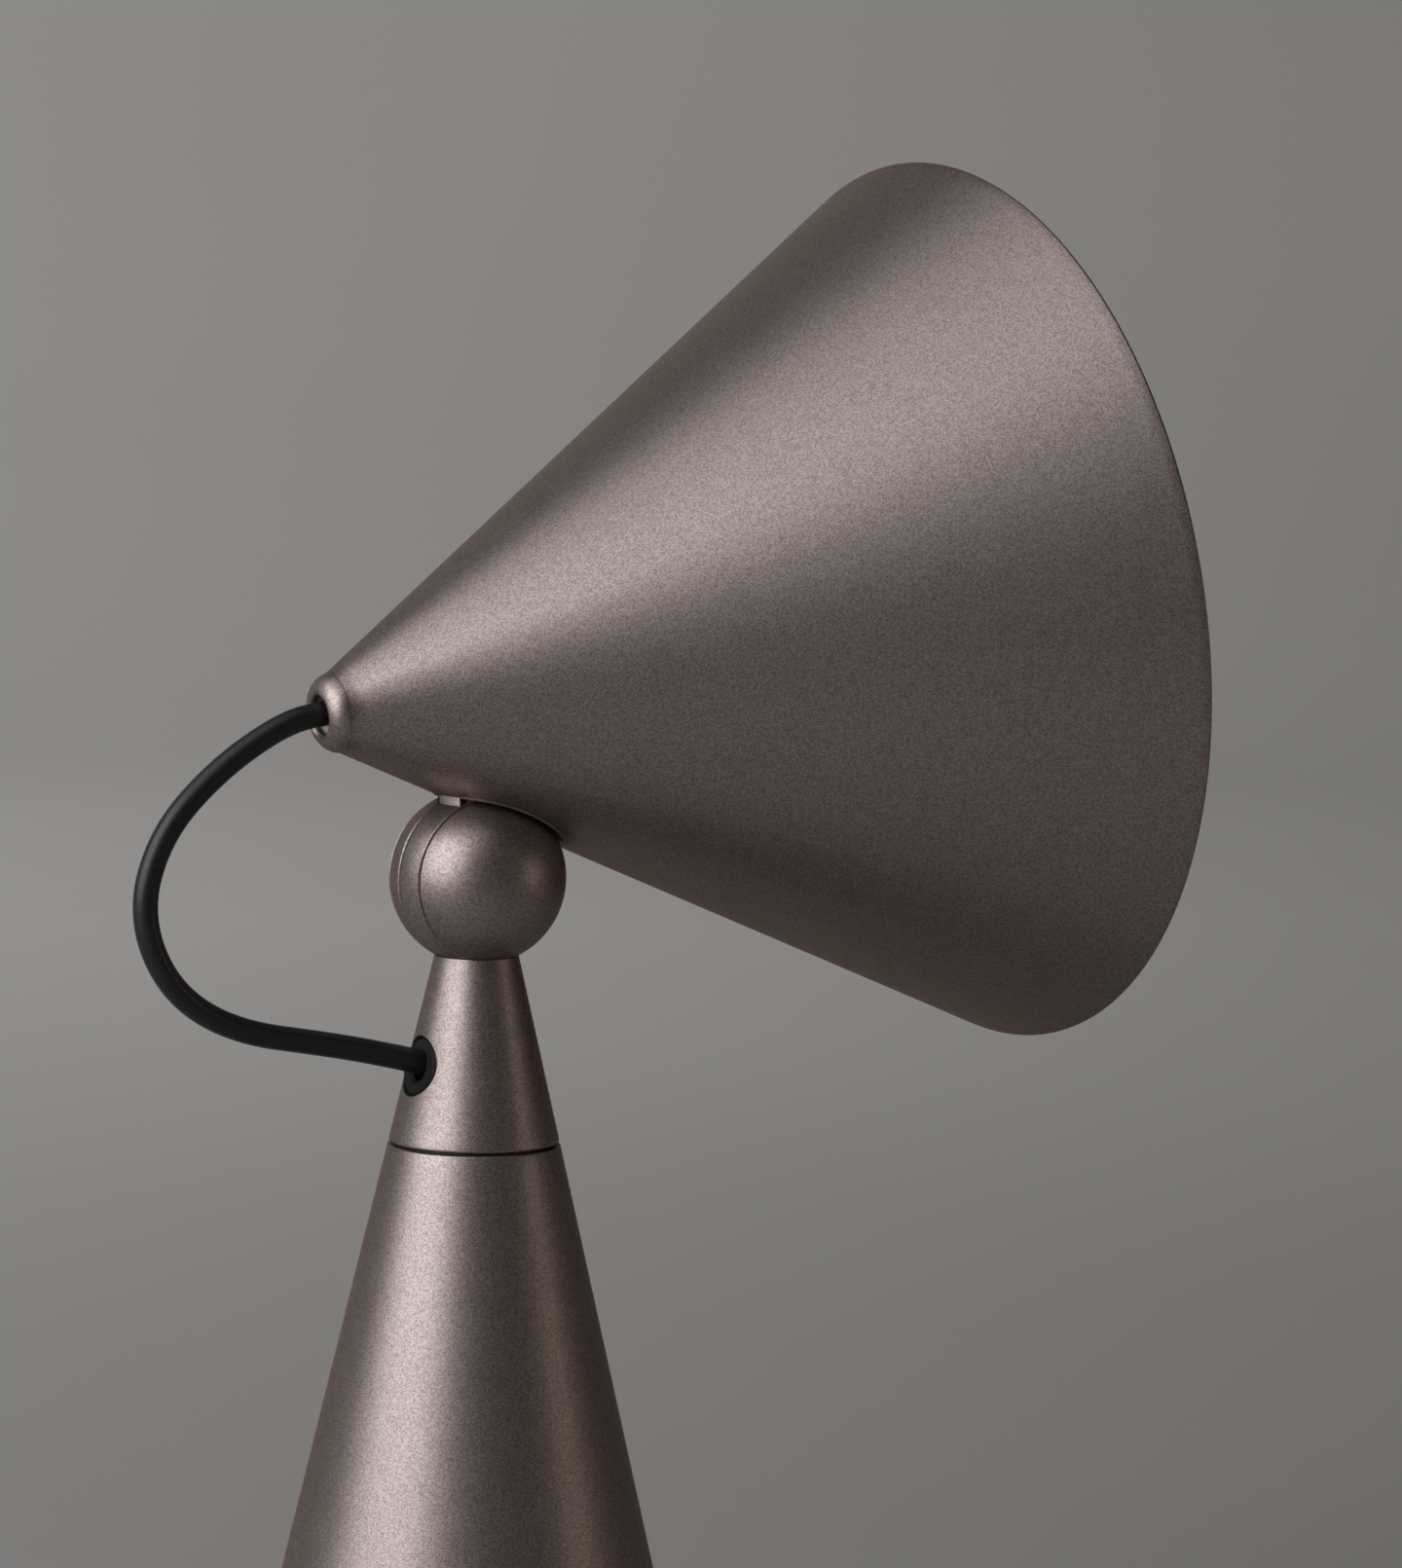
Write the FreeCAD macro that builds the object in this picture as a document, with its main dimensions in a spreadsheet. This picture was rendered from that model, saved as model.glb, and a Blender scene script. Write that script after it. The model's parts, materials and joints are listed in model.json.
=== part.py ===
import FreeCAD, Part
import Sketcher
import os
from math import asin, atan2, cos, degrees, pi, radians, sqrt, tan
from FreeCAD import Placement, Rotation, Vector

# Two-cone desk lamp: a weighted conical base, a neck that swivels on it, and a conical shade on a ball hinge.
#
# Row frame: origin on the floor at the middle of the base, +Z up, +X the way the shade points.
# The lamp is stored with its swivel at the middle of its travel and the shade tipped slightly upwards.

# ---------------------------------------------------------------- driving dimensions (mm, degrees)

DIMENSIONS = {
    # the two cones of the stand share one slope
    "base_radius": 70.0,
    "stand_slope": 13.1,
    "neck_rim_radius": 9.9,
    "seam_height": 214.0,
    "seam_gap": 0.7,
    "base_wall": 1.6,
    "neck_wall": 2.05,
    # foot
    "pad_thick": 2.0,
    "pad_radius": 66.5,
    "cone_lift": 1.5,
    "plate_thick": 1.5,
    "weight_thick": 21.5,
    "weight_bore": 5.3,
    "weight_recess_radius": 12.0,
    "weight_recess": 9.0,
    "foot_screw_circle": 45.0,
    "foot_screw_head": 4.0,
    "foot_screw_shank": 2.0,
    "foot_screw_length": 11.0,
    "foot_screw_cone": 2.2,
    "screw_count": 3,
    # tube that ties the weight to the collar
    "tube_radius": 5.0,
    "tube_bore": 3.3,
    "thread_slack": 0.02,
    "tie_washer_radius": 10.0,
    "washer_thick": 1.5,
    "nut_flats": 7.5,
    "nut_thick": 5.0,
    "tube_lift": 2.0,
    # swivel under the neck
    "swivel_plate_thick": 3.0,
    "swivel_recess": 0.2,
    "cone_flange_thick": 2.5,
    "cone_flange_bore": 13.0,
    "collar_depth": 24.0,
    "collar_cavity": 12.0,
    "collar_floor": 6.0,
    "bush_radius": 7.0,
    "bush_flange_radius": 10.0,
    "bush_flange": 2.0,
    "stem_radius": 5.0,
    "stem_bore": 3.2,
    "stem_length": 18.0,
    "running_gap": 0.05,
    "spring_thick": 1.5,
    "spring_radius": 9.0,
    "swivel_nut_flats": 8.5,
    "swivel_nut_thick": 6.0,
    "swivel_screw_circle": 15.2,
    "small_screw_head": 2.75,
    "small_screw_shank": 1.5,
    "small_screw_cone": 1.6,
    "swivel_screw_length": 16.0,
    "seam_washer_bore": 11.4,
    "seam_washer_radius": 18.6,
    "stop_circle": 9.5,
    "stop_pin_radius": 1.25,
    "stop_groove": 1.4,
    "stop_slack": 0.5,
    "stop_pin_length": 4.2,
    "stop_pin_sink": 0.6,
    "swivel_limit": 165.0,
    # neck
    "neck_floor_thick": 3.0,
    "neck_screw_offset": 8.2,
    "neck_screw_length": 33.0,
    "grommet_drop": 43.8,
    "grommet_radius": 7.2,
    "grommet_bore": 3.3,
    "grommet_sink": 0.7,
    "grommet_flange": 1.4,
    "shank_depth": 16.5,
    "shank_overlap": 3.0,
    "soft_edge": 0.8,
    "fit_gap": 0.1,
    # ball hinge
    "ball_radius": 20.75,
    "seat_gap": 0.15,
    "slice_thick": 7.2,
    "slice_gap": 0.25,
    "seam_round": 0.5,
    "near_groove": 0.3,
    "far_groove": 1.0,
    "groove_depth": 1.2,
    "bolt_radius": 3.0,
    "bolt_head_radius": 5.2,
    "bolt_head": 3.6,
    "bolt_socket": 1.7,
    "bolt_socket_floor": 1.0,
    "bolt_end": 14.0,
    "near_pocket_radius": 6.0,
    "near_pocket": 4.8,
    "far_pocket_radius": 8.0,
    "far_pocket": 7.8,
    "hinge_spring_thick": 2.0,
    "hinge_spring_radius": 6.5,
    "hinge_nut_flats": 5.0,
    "hinge_nut_thick": 4.0,
    "cap_pin_radius": 1.0,
    "cap_pin_offset": 12.0,
    "cap_pin_reach": 3.0,
    "cap_flat": 16.6,
    "cap_flat_tilt": 18.0,
    "friction_radius": 9.0,
    # shade, measured from the point where its cone would close
    "shade_mouth_radius": 107.5,
    "shade_length": 187.65,
    "shade_tilt": 7.33,
    "shade_wall": 1.3,
    "apex_back": 54.1,
    "apex_rise": 37.66,
    "nose_start": 12.0,
    "nose_wall": 2.0,
    "nose_shoulder_radius": 9.4,
    "nose_round": 5.0,
    "nose_face_radius": 5.7,
    "nose_lip": 1.1,
    "nose_hole": 4.6,
    # ball recess in the shade
    "recess_radius": 22.7,
    "cup_outer": 22.5,
    "cup_inner": 21.6,
    "cup_proud": 0.12,
    "flange_start": 34.0,
    "flange_end": 80.0,
    "flange_thick": 2.0,
    "flange_half_width": 27.0,
    "stud_radius": 1.5,
    "stud_length": 5.6,
    "stud_nut_flats": 2.75,
    "stud_nut_thick": 2.4,
    "front_stud_shift": 7.0,
    "front_stud_angle": 37.0,
    "rear_stud_inset": 4.0,
    "rear_stud_angle": 22.0,
    # lamp holder, bulb and reflector, along the shade's axis
    "boss_end": 28.0,
    "nipple_start": 15.5,
    "nipple_end": 50.0,
    "nipple_bore": 3.7,
    "lock_nut_thick": 4.0,
    "holder_start": 43.0,
    "holder_back_radius": 9.0,
    "holder_shoulder": 58.0,
    "holder_end": 93.0,
    "holder_radius": 19.5,
    "holder_cavity": 14.3,
    "holder_floor": 63.0,
    "holder_wall": 2.0,
    "holder_cap_floor": 6.0,
    "holder_cap_edge": 4.0,
    "reflector_back": 86.0,
    "reflector_bore": 19.8,
    "reflector_gap": 3.0,
    "reflector_wall": 0.8,
    "reflector_lip": 1.6,
    "ring_radius": 25.0,
    "ring_thick": 5.0,
    "bulb_cap_start": 64.5,
    "bulb_cap_end": 93.4,
    "bulb_cap_radius": 13.2,
    "bulb_tip_radius": 5.0,
    "bulb_tip_rise": 3.0,
    "bulb_collar_radius": 15.5,
    "bulb_collar_rise": 3.0,
    "bulb_collar_step": 0.6,
    "bulb_waist": 124.0,
    "bulb_radius": 30.0,
    "bulb_centre": 141.0,
    # cords and leads
    "cord_radius": 2.9,
    "lead_radius": 2.0,
    # inlet for the mains lead and the terminal block
    "inlet_height": 42.0,
    "inlet_bore": 3.1,
    "inlet_sleeve": 5.0,
    "inlet_flange_radius": 8.0,
    "inlet_flange": 2.5,
    "inlet_reach": 11.0,
    "inlet_nut_flats": 7.5,
    "inlet_nut_thick": 3.0,
    "inlet_nut_gap": 1.2,
    "inlet_edge": 1.5,
    "block_length": 30.0,
    "block_width": 17.0,
    "block_height": 14.0,
    "block_offset": 13.0,
    "window_height": 48.0,
    "window_length": 40.0,
    "window_width": 5.0,
    "well_radius": 2.0,
    "well_depth": 4.0,
    "well_across": 4.5,
    "well_along": 9.0,
    # inner ends of the leads
    "shade_lead_start": 24.6,
    "shade_lead_gap": 9.3,
    "base_lead_top": 119.0,
    # cutting tools
    "tool_length": 20.0,
    "tool_block": 60.0,
}


def add_derived(d):
    """Heights and radii that follow from the driving dimensions."""
    slope = tan(radians(d["stand_slope"]))
    shade_half_angle = shade_angle(d)
    d["ball_height"] = (d["base_radius"] - d["neck_rim_radius"]) / slope + sqrt(
        (d["ball_radius"] + d["seat_gap"]) ** 2 - d["neck_rim_radius"] ** 2)
    d["plate_bottom"] = d["pad_thick"]
    d["weight_bottom"] = d["plate_bottom"] + d["plate_thick"]
    d["weight_top"] = d["weight_bottom"] + d["weight_thick"]
    d["base_top"] = d["seam_height"] - d["seam_gap"] / 2
    d["neck_foot"] = d["seam_height"] + d["seam_gap"] / 2
    d["swivel_top"] = d["base_top"] - d["swivel_recess"]
    d["swivel_bottom"] = d["swivel_top"] - d["swivel_plate_thick"]
    d["flange_bottom"] = d["swivel_bottom"] - d["cone_flange_thick"]
    d["collar_bottom"] = d["flange_bottom"] - d["collar_depth"]
    d["collar_cavity_floor"] = d["collar_bottom"] + d["collar_floor"]
    d["bush_bottom"] = d["swivel_bottom"] - d["bush_flange"]
    d["neck_floor_top"] = d["neck_foot"] + d["neck_floor_thick"]
    d["shank_bottom"] = d["ball_height"] - d["ball_radius"] - d["shank_depth"]
    d["neck_top"] = d["ball_height"] - d["ball_radius"] + d["shank_overlap"]
    for name in ("cone_lift", "weight_bottom", "weight_top", "base_top", "swivel_bottom", "swivel_top",
                 "flange_bottom", "collar_bottom", "neck_foot", "neck_floor_top", "shank_bottom", "neck_top"):
        d["width_" + name] = d["base_radius"] - d[name] * slope
    d["shade_half_angle"] = shade_half_angle
    grow = tan(radians(shade_half_angle))
    inset = d["shade_wall"] / cos(radians(shade_half_angle))
    d["nose_shoulder"] = d["nose_shoulder_radius"] / grow
    d["nose_inside"] = d["nose_start"] + d["nose_wall"]
    for name in ("nose_inside", "shade_length", "boss_end", "flange_start", "flange_end", "reflector_back"):
        d["inside_" + name] = d[name] * grow - inset
    d["outside_flange_start"] = d["flange_start"] * grow
    d["outside_flange_end"] = d["flange_end"] * grow
    d["nose_lip_end"] = d["nose_start"] + d["nose_lip"]
    d["near_face"] = d["slice_thick"] + d["near_groove"]
    d["far_face"] = d["slice_thick"] + d["far_groove"]
    for name, side in (("slice_gap", -1), ("slice_thick", 1), ("near_face", -1), ("far_face", -1)):
        add_rounding(d, name, side)
    return d


def add_rounding(d, face, side):
    """Points where the ball's rounded edge meets a face across the pin; side 1 if the ball part ends there."""
    middle = d[face] - side * d["seam_round"]
    inner = d["ball_radius"] - d["seam_round"]
    flat = sqrt(inner ** 2 - middle ** 2)
    d[face + "_flat"] = flat
    d[face + "_skin"] = flat * d["ball_radius"] / inner
    d[face + "_skin_height"] = middle * d["ball_radius"] / inner


def shade_angle(d):
    """Half angle of the shade's cone in degrees."""
    return degrees(atan2(d["shade_mouth_radius"], d["shade_length"]))


D = add_derived(dict(DIMENSIONS))

doc = FreeCAD.newDocument("desk_lamp")
sheet = doc.addObject("Spreadsheet::Sheet", "dims")
for line_number, (alias, size) in enumerate(D.items(), start=1):
    sheet.set("A%d" % line_number, alias)
    sheet.set("B%d" % line_number, "%.5f" % size)
    sheet.setAlias("B%d" % line_number, alias)
doc.recompute()

# ---------------------------------------------------------------- frames

BALL = Vector(0, 0, D["ball_height"])
FLOOR = Placement()
# a frame whose Z runs along the hinge pin, with its origin at the ball's middle
HINGE = Placement(BALL, Rotation(Vector(1, 0, 0), -90))
# the ball's own frames keep the ends and the join line of its round face away from the cuts made in it
SEAM_BELOW = HINGE.multiply(Placement(Vector(), Rotation(Vector(0, 0, 1), 90)))
SEAM_ABOVE = HINGE.multiply(Placement(Vector(), Rotation(Vector(0, 0, 1), -90)))
# the hinge's frame looking out of the near side
NEAR_HINGE = HINGE.multiply(Placement(Vector(), Rotation(Vector(1, 0, 0), 180)))
# a frame whose Z runs along the shade's axis from the closing point of its cone, X towards the ball
SHADE = Placement(BALL + Vector(-D["apex_back"], 0, D["apex_rise"]),
                  Rotation(Vector(0, 1, 0), 90 - D["shade_tilt"]))
BALL_IN_SHADE = SHADE.inverse().multVec(BALL)

# the stud holes' join lines are turned away from the points where they cross the flange's cone
HOLE_TURN = 50
# share of the shorter neighbouring run that an arc of a routed cord takes up
ARC_SHARE = 0.45

PARTS = []

# ---------------------------------------------------------------- helpers


def words(formula):
    """A sum such as 'seam_height - seam_gap' split into signed words."""
    signed = []
    sign = 1
    for word in formula.split():
        if word in "+-":
            sign = -1 if word == "-" else 1
        else:
            signed.append((sign, word))
    return signed


def measure(formula):
    """The value of a sum of sheet cells and numbers."""
    if not isinstance(formula, str):
        return float(formula)
    return sum(sign * (D[word] if word in D else float(word)) for sign, word in words(formula))


def bound(formula):
    """The same sum as an expression on the sheet."""
    if not isinstance(formula, str):
        return "%.5f" % formula
    text = ""
    for sign, word in words(formula):
        text += (" - " if sign < 0 else " + ") + ("dims." + word if word in D else word)
    return "0" + text


def bind(thing, **sizes):
    """Bind each named size of a document object to the sheet."""
    for name, formula in sizes.items():
        thing.setExpression(name, bound(formula))
    return thing


def moved(placement, x=0, y=0, z=0, turn=0, about=Vector(0, 0, 1)):
    """A placement shifted and turned inside another one."""
    return placement.multiply(Placement(Vector(x, y, z), Rotation(about, turn)))


def origin_plane(body, role):
    return next(f for f in body.Origin.OriginFeatures if f.Role == role)


def draw_loop(sketch, points):
    """Closed outline through (across, up) points; a third entry is the radius of the arc that arrives there."""
    values = [(measure(p[0]), measure(p[1])) for p in points]
    count = len(points)
    for i in range(count):
        arriving = points[(i + 1) % count]
        start = Vector(values[i][0], values[i][1], 0)
        end = Vector(values[(i + 1) % count][0], values[(i + 1) % count][1], 0)
        if len(arriving) > 2:
            sketch.addGeometry(arc_between(start, end, arriving[2]), False)
        else:
            sketch.addGeometry(Part.LineSegment(start, end), False)
    for i in range(count):
        arrival = end_at(sketch, i, values[(i + 1) % count])
        departure = end_at(sketch, (i + 1) % count, values[(i + 1) % count])
        sketch.addConstraint(Sketcher.Constraint("Coincident", i, arrival, (i + 1) % count, departure))
    for i in range(count):
        fix_corner(sketch, i, end_at(sketch, i, values[i]), points[i])
        if len(points[(i + 1) % count]) > 2:
            size = points[(i + 1) % count][2].lstrip("-")
            index = sketch.addConstraint(Sketcher.Constraint("Radius", i, measure(size)))
            sketch.setExpression("Constraints[%d]" % index, bound(size))


def arc_between(start, end, radius_name):
    """Arc from start to end; a leading minus puts its middle on the other side."""
    side = -1 if radius_name.startswith("-") else 1
    radius = measure(radius_name.lstrip("-"))
    chord = end - start
    middle = (start + end) * 0.5
    normal = Vector(-chord.y, chord.x, 0).normalize()
    away = sqrt(max(radius ** 2 - (chord.Length / 2) ** 2, 0))
    centre = middle + normal * (away * side)
    through = centre - normal * (radius * side)
    return Part.Arc(start, through, end)


def end_at(sketch, index, corner):
    """Which end of a sketch edge lies on a corner (an arc's own ends may be swapped)."""
    first = sketch.getPoint(index, 1)
    last = sketch.getPoint(index, 2)
    spot = Vector(corner[0], corner[1], 0)
    return 1 if first.distanceToPoint(spot) < last.distanceToPoint(spot) else 2


def fix_corner(sketch, index, end, point):
    """Hold one corner at its bound distances from the sketch's origin."""
    for kind, axis, formula in (("DistanceX", -2, point[0]), ("DistanceY", -1, point[1])):
        if formula == 0:
            sketch.addConstraint(Sketcher.Constraint("PointOnObject", index, end, axis))
            continue
        number = sketch.addConstraint(Sketcher.Constraint(kind, -1, 1, index, end, measure(formula)))
        sketch.setExpression("Constraints[%d]" % number, bound(formula))


def turned(name, points, place=FLOOR):
    """A body turned about its own Z axis from (radius, height) points."""
    body = doc.addObject("PartDesign::Body", name)
    sketch = body.newObject("Sketcher::SketchObject", name + "_outline")
    sketch.AttachmentSupport = [(origin_plane(body, "XZ_Plane"), "")]
    sketch.MapMode = "FlatFace"
    draw_loop(sketch, points)
    revolution = body.newObject("PartDesign::Revolution", name + "_turning")
    revolution.Profile = sketch
    revolution.ReferenceAxis = (sketch, ["V_Axis"])
    revolution.Angle = 360
    body.Placement = place
    doc.recompute()
    return body


def ring(name, inner, outer, bottom, top, place=FLOOR):
    """A plain washer, disc or sleeve."""
    if inner == 0:
        return turned(name, [(0, bottom), (outer, bottom), (outer, top), (0, top)], place)
    return turned(name, [(inner, bottom), (outer, bottom), (outer, top), (inner, top)], place)


def rod(name, radius, length, place):
    solid = doc.addObject("Part::Cylinder", name)
    bind(solid, Radius=radius, Height=length)
    solid.Placement = place
    return solid


def ball(name, radius, place):
    solid = doc.addObject("Part::Sphere", name)
    bind(solid, Radius=radius)
    solid.Placement = place
    return solid


def block(name, length, width, height, place):
    solid = doc.addObject("Part::Box", name)
    bind(solid, Length=length, Width=width, Height=height)
    solid.Placement = place
    return solid


def hexagon(name, flats, thick, bore, place):
    """A hexagon nut; flats is half the width across its flats."""
    prism = doc.addObject("Part::Prism", name + "_stock")
    prism.Polygon = 6
    prism.setExpression("Circumradius", "(%s) / cos(30 deg)" % bound(flats))
    bind(prism, Height=thick)
    prism.Placement = place
    hole = rod(name + "_bore", bore, thick, place)
    return cut(name, prism, hole)


def cut(name, base, *tools):
    solid = doc.addObject("Part::Cut", name)
    solid.Base = base
    solid.Tool = tools[0] if len(tools) == 1 else together(name + "_tools", tools)
    return solid


def together(name, solids):
    """One shape from several: fused where they meet, separate where they do not."""
    joined = doc.addObject("Part::MultiFuse", name)
    joined.Shapes = list(solids)
    return joined


def overlap(name, *solids):
    shared = doc.addObject("Part::MultiCommon", name)
    shared.Shapes = list(solids)
    return shared


def countersunk(name, head, shank, cone, length, place):
    """A countersunk screw: flat head at its own zero, shank along its Z."""
    return turned(name, [(0, 0), (head, 0), (shank, cone), (shank, length), (0, length)], place)


def node(name, solid):
    """Give a finished sub-part its label and remember it."""
    solid.Label = name
    PARTS.append((name, solid))
    return solid


def stand_surface(height):
    """Placement on the stand's cone at the back (-X), Z out along the surface normal."""
    radius = D["base_radius"] - height * tan(radians(D["stand_slope"]))
    outward = Rotation(Vector(0, 1, 0), -90 + D["stand_slope"])
    return Placement(Vector(-radius, 0, height), outward)


def shade_inside(along, around):
    """Placement on the inside of the shade's cone, Z pointing to its axis; around is counted from the ball."""
    half = D["shade_half_angle"]
    radius = along * tan(radians(half)) - D["shade_wall"] / cos(radians(half))
    inward = Rotation(Vector(0, 1, 0), half - 90)
    local = Placement(Vector(0, 0, 0), Rotation(Vector(0, 0, 1), around))
    return SHADE.multiply(local).multiply(Placement(Vector(radius, 0, along), inward))


def routed(name, points, radius, frame=BALL):
    """A round cord along straight runs joined by tangent arcs, in the lamp's middle plane."""
    spots = [frame + Vector(x, 0, z) for x, z in points]
    edges = []
    last = spots[0]
    radii = []
    for before, corner, after in zip(spots, spots[1:], spots[2:]):
        come = (corner - before).normalize()
        go = (after - corner).normalize()
        turn = come.getAngle(go)
        back = ARC_SHARE * min((corner - before).Length, (after - corner).Length)
        radii.append(back / tan(turn / 2))
        begin = corner - come * back
        finish = corner + go * back
        bisector = (go - come).normalize()
        centre = corner + bisector * (radii[-1] / cos(turn / 2))
        edges.append(Part.LineSegment(last, begin).toShape())
        edges.append(Part.Arc(begin, centre - bisector * radii[-1], finish).toShape())
        last = finish
    edges.append(Part.LineSegment(last, spots[-1]).toShape())
    path = Part.Wire(edges)
    section = Part.Wire([Part.Circle(spots[0], spots[1] - spots[0], radius).toShape()])
    solid = path.makePipeShell([section], True, False)
    cord = doc.addObject("Part::Feature", name)
    cord.Shape = solid
    cord.Placement = FLOOR
    expected = pi * radius ** 2 * path.Length
    print("%s: length %.1f, bend radii %s, volume %.4f of section x length"
          % (name, path.Length, ["%.1f" % r for r in radii], solid.Volume / expected))
    return cord


# ---------------------------------------------------------------- foot and base


def screw_bearing(i, shift):
    """The direction of one of the equally spaced screws, shifted by a share of their spacing."""
    spacing = 360 / D["screw_count"]
    return moved(FLOOR, turn=spacing * (i + shift))


def make_foot():
    node("base_pad", ring("base_pad", 0, "pad_radius", 0, "pad_thick"))
    plate = ring("base_plate_blank", 0, "pad_radius", "plate_bottom", "weight_bottom")
    weight = turned("base_weight_blank", [
        ("weight_bore", "weight_bottom + weight_recess"),
        ("weight_recess_radius", "weight_bottom + weight_recess"),
        ("weight_recess_radius", "weight_bottom"),
        ("width_weight_bottom - base_wall - fit_gap", "weight_bottom"),
        ("width_weight_top - base_wall - fit_gap", "weight_top"),
        ("weight_bore", "weight_top")])
    screws = []
    for i in range(D["screw_count"]):
        place = moved(screw_bearing(i, 0.5), x=D["foot_screw_circle"], z=D["plate_bottom"])
        screws.append(countersunk("foot_screw_%d" % i, "foot_screw_head", "foot_screw_shank", "foot_screw_cone",
                                  "foot_screw_length", place))
    group = together("base_screws", screws)
    node("base_plate", cut("base_plate", plate, group))
    node("base_weight", cut("base_weight", weight, group))
    node("base_screws", group)


def make_base_cone():
    shell = turned("base_cone_blank", [
        ("width_cone_lift", "cone_lift"),
        ("width_base_top", "base_top"),
        ("width_base_top - base_wall", "base_top"),
        ("width_swivel_bottom - base_wall", "swivel_bottom"),
        ("cone_flange_bore", "swivel_bottom"),
        ("cone_flange_bore", "flange_bottom"),
        ("width_flange_bottom - base_wall", "flange_bottom"),
        ("width_cone_lift - base_wall", "cone_lift")])
    place = stand_surface(D["inlet_height"])
    hole = rod("inlet_hole", "inlet_sleeve", "tool_length", moved(place, z=-D["tool_length"] / 2))
    screw_holes = together("flange_screw_holes", [
        rod("flange_hole_%d" % i, "small_screw_shank + fit_gap", "tool_length", swivel_screw_place(i))
        for i in range(D["screw_count"])])
    node("base_cone", cut("base_cone", shell, hole, screw_holes))


def make_tie():
    top = "collar_cavity_floor"
    bottom = "weight_bottom + tube_lift"
    tube = ring("tie_tube_blank", "tube_bore", "tube_radius", bottom, top)
    window = block("tie_window", "tool_length", "window_width", "window_length",
                   Placement(Vector(0, -D["window_width"] / 2, D["window_height"]), Rotation()))
    node("tie_tube", cut("tie_tube", tube, window))
    under = D["weight_bottom"] + D["weight_recess"]
    node("tie_washer", ring("tie_washer", "tube_radius + thread_slack", "tie_washer_radius",
                            "weight_bottom + weight_recess - washer_thick", "weight_bottom + weight_recess"))
    node("tie_nut", hexagon("tie_nut", "nut_flats", "nut_thick", "tube_radius + thread_slack",
                            moved(FLOOR, z=under - D["washer_thick"] - D["nut_thick"])))


def swivel_screw_place(i):
    """Screws of the swivel plate point down from its top face."""
    spot = moved(screw_bearing(i, 0.25), x=D["swivel_screw_circle"], z=D["swivel_top"])
    return moved(spot, turn=180, about=Vector(1, 0, 0))


def make_swivel_seat():
    collar = turned("collar_blank", [
        ("tube_radius + thread_slack", "collar_bottom"),
        ("width_collar_bottom - base_wall - fit_gap", "collar_bottom"),
        ("width_flange_bottom - base_wall - fit_gap", "flange_bottom"),
        ("collar_cavity", "flange_bottom"),
        ("collar_cavity", "collar_cavity_floor"),
        ("tube_radius + thread_slack", "collar_cavity_floor")])
    plate = turned("swivel_plate_blank", [
        ("bush_radius", "swivel_bottom"),
        ("width_swivel_bottom - base_wall - fit_gap", "swivel_bottom"),
        ("width_swivel_top - base_wall - fit_gap", "swivel_top"),
        ("bush_radius", "swivel_top")])
    screws = [countersunk("swivel_screw_%d" % i, "small_screw_head", "small_screw_shank", "small_screw_cone",
                          "swivel_screw_length", swivel_screw_place(i)) for i in range(D["screw_count"])]
    group = together("swivel_screws", screws)
    node("base_collar", cut("base_collar", collar, group))
    node("swivel_plate", cut("swivel_plate", plate, group, stop_groove()))
    node("swivel_screws", group)
    node("swivel_bush", turned("swivel_bush", [
        ("stem_radius + running_gap", "bush_bottom"),
        ("bush_flange_radius", "bush_bottom"),
        ("bush_flange_radius", "swivel_bottom"),
        ("bush_radius", "swivel_bottom"),
        ("bush_radius", "swivel_top"),
        ("stem_radius + running_gap", "swivel_top")]))
    node("seam_washer", ring("seam_washer", "seam_washer_bore", "seam_washer_radius", "swivel_top",
                             "neck_foot - running_gap"))


def stop_groove():
    """Nearly closed groove for the stop pin; the web left at the back stops it at the swivel's limits."""
    pin_angle = degrees(asin(D["stop_pin_radius"] / D["stop_circle"]))
    half_span = D["swivel_limit"] + pin_angle + D["stop_slack"]
    place = Placement(Vector(0, 0, D["swivel_top"] - D["stop_groove"]), Rotation(Vector(0, 0, 1), -half_span))
    outer = rod("groove_outer", "stop_circle + stop_pin_radius + fit_gap", "stop_groove + fit_gap", place)
    outer.Angle = 2 * half_span
    inner = rod("groove_inner", "stop_circle - stop_pin_radius - fit_gap", "stop_groove + fit_gap", place)
    return cut("stop_groove_cutter", outer, inner)


def make_inlet():
    """Cable inlet low at the back of the base, held by a nut inside."""
    place = stand_surface(D["inlet_height"])
    node("cord_inlet", turned("cord_inlet", [
        ("inlet_bore", "0 - inlet_reach"),
        ("inlet_sleeve", "0 - inlet_reach"),
        ("inlet_sleeve", "fit_gap"),
        ("inlet_flange_radius", "fit_gap"),
        ("inlet_flange_radius - inlet_edge", "inlet_flange"),
        ("inlet_bore", "inlet_flange")], place))
    node("inlet_nut", hexagon("inlet_nut", "inlet_nut_flats", "inlet_nut_thick", "inlet_sleeve + thread_slack",
                              moved(place, z=-D["base_wall"] - D["inlet_nut_thick"] - D["inlet_nut_gap"])))


def make_terminals():
    """Two-pole terminal block on the weight, with its fixing screw."""
    corner = Vector(D["block_offset"], -D["block_width"] / 2, D["weight_top"])
    body = block("terminal_stock", "block_length", "block_width", "block_height", Placement(corner, Rotation()))
    middle = D["block_offset"] + D["block_length"] / 2
    fixing = Placement(Vector(middle, 0, D["weight_top"] + D["block_height"]), Rotation(Vector(1, 0, 0), 180))
    screw = countersunk("terminal_screw", "small_screw_head", "small_screw_shank", "small_screw_cone",
                        "block_height - fit_gap", fixing)
    floor = D["weight_top"] + D["block_height"] - D["well_depth"]
    corners = [(x * D["well_along"], y * D["well_across"]) for x in (-1, 1) for y in (-1, 1)]
    wells = [rod("terminal_well_%d" % i, "well_radius", "well_depth",
                 Placement(Vector(middle + dx, dy, floor), Rotation()))
             for i, (dx, dy) in enumerate(corners)]
    node("terminal_block", cut("terminal_block", body, screw, *wells))
    node("terminal_screw", screw)


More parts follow.
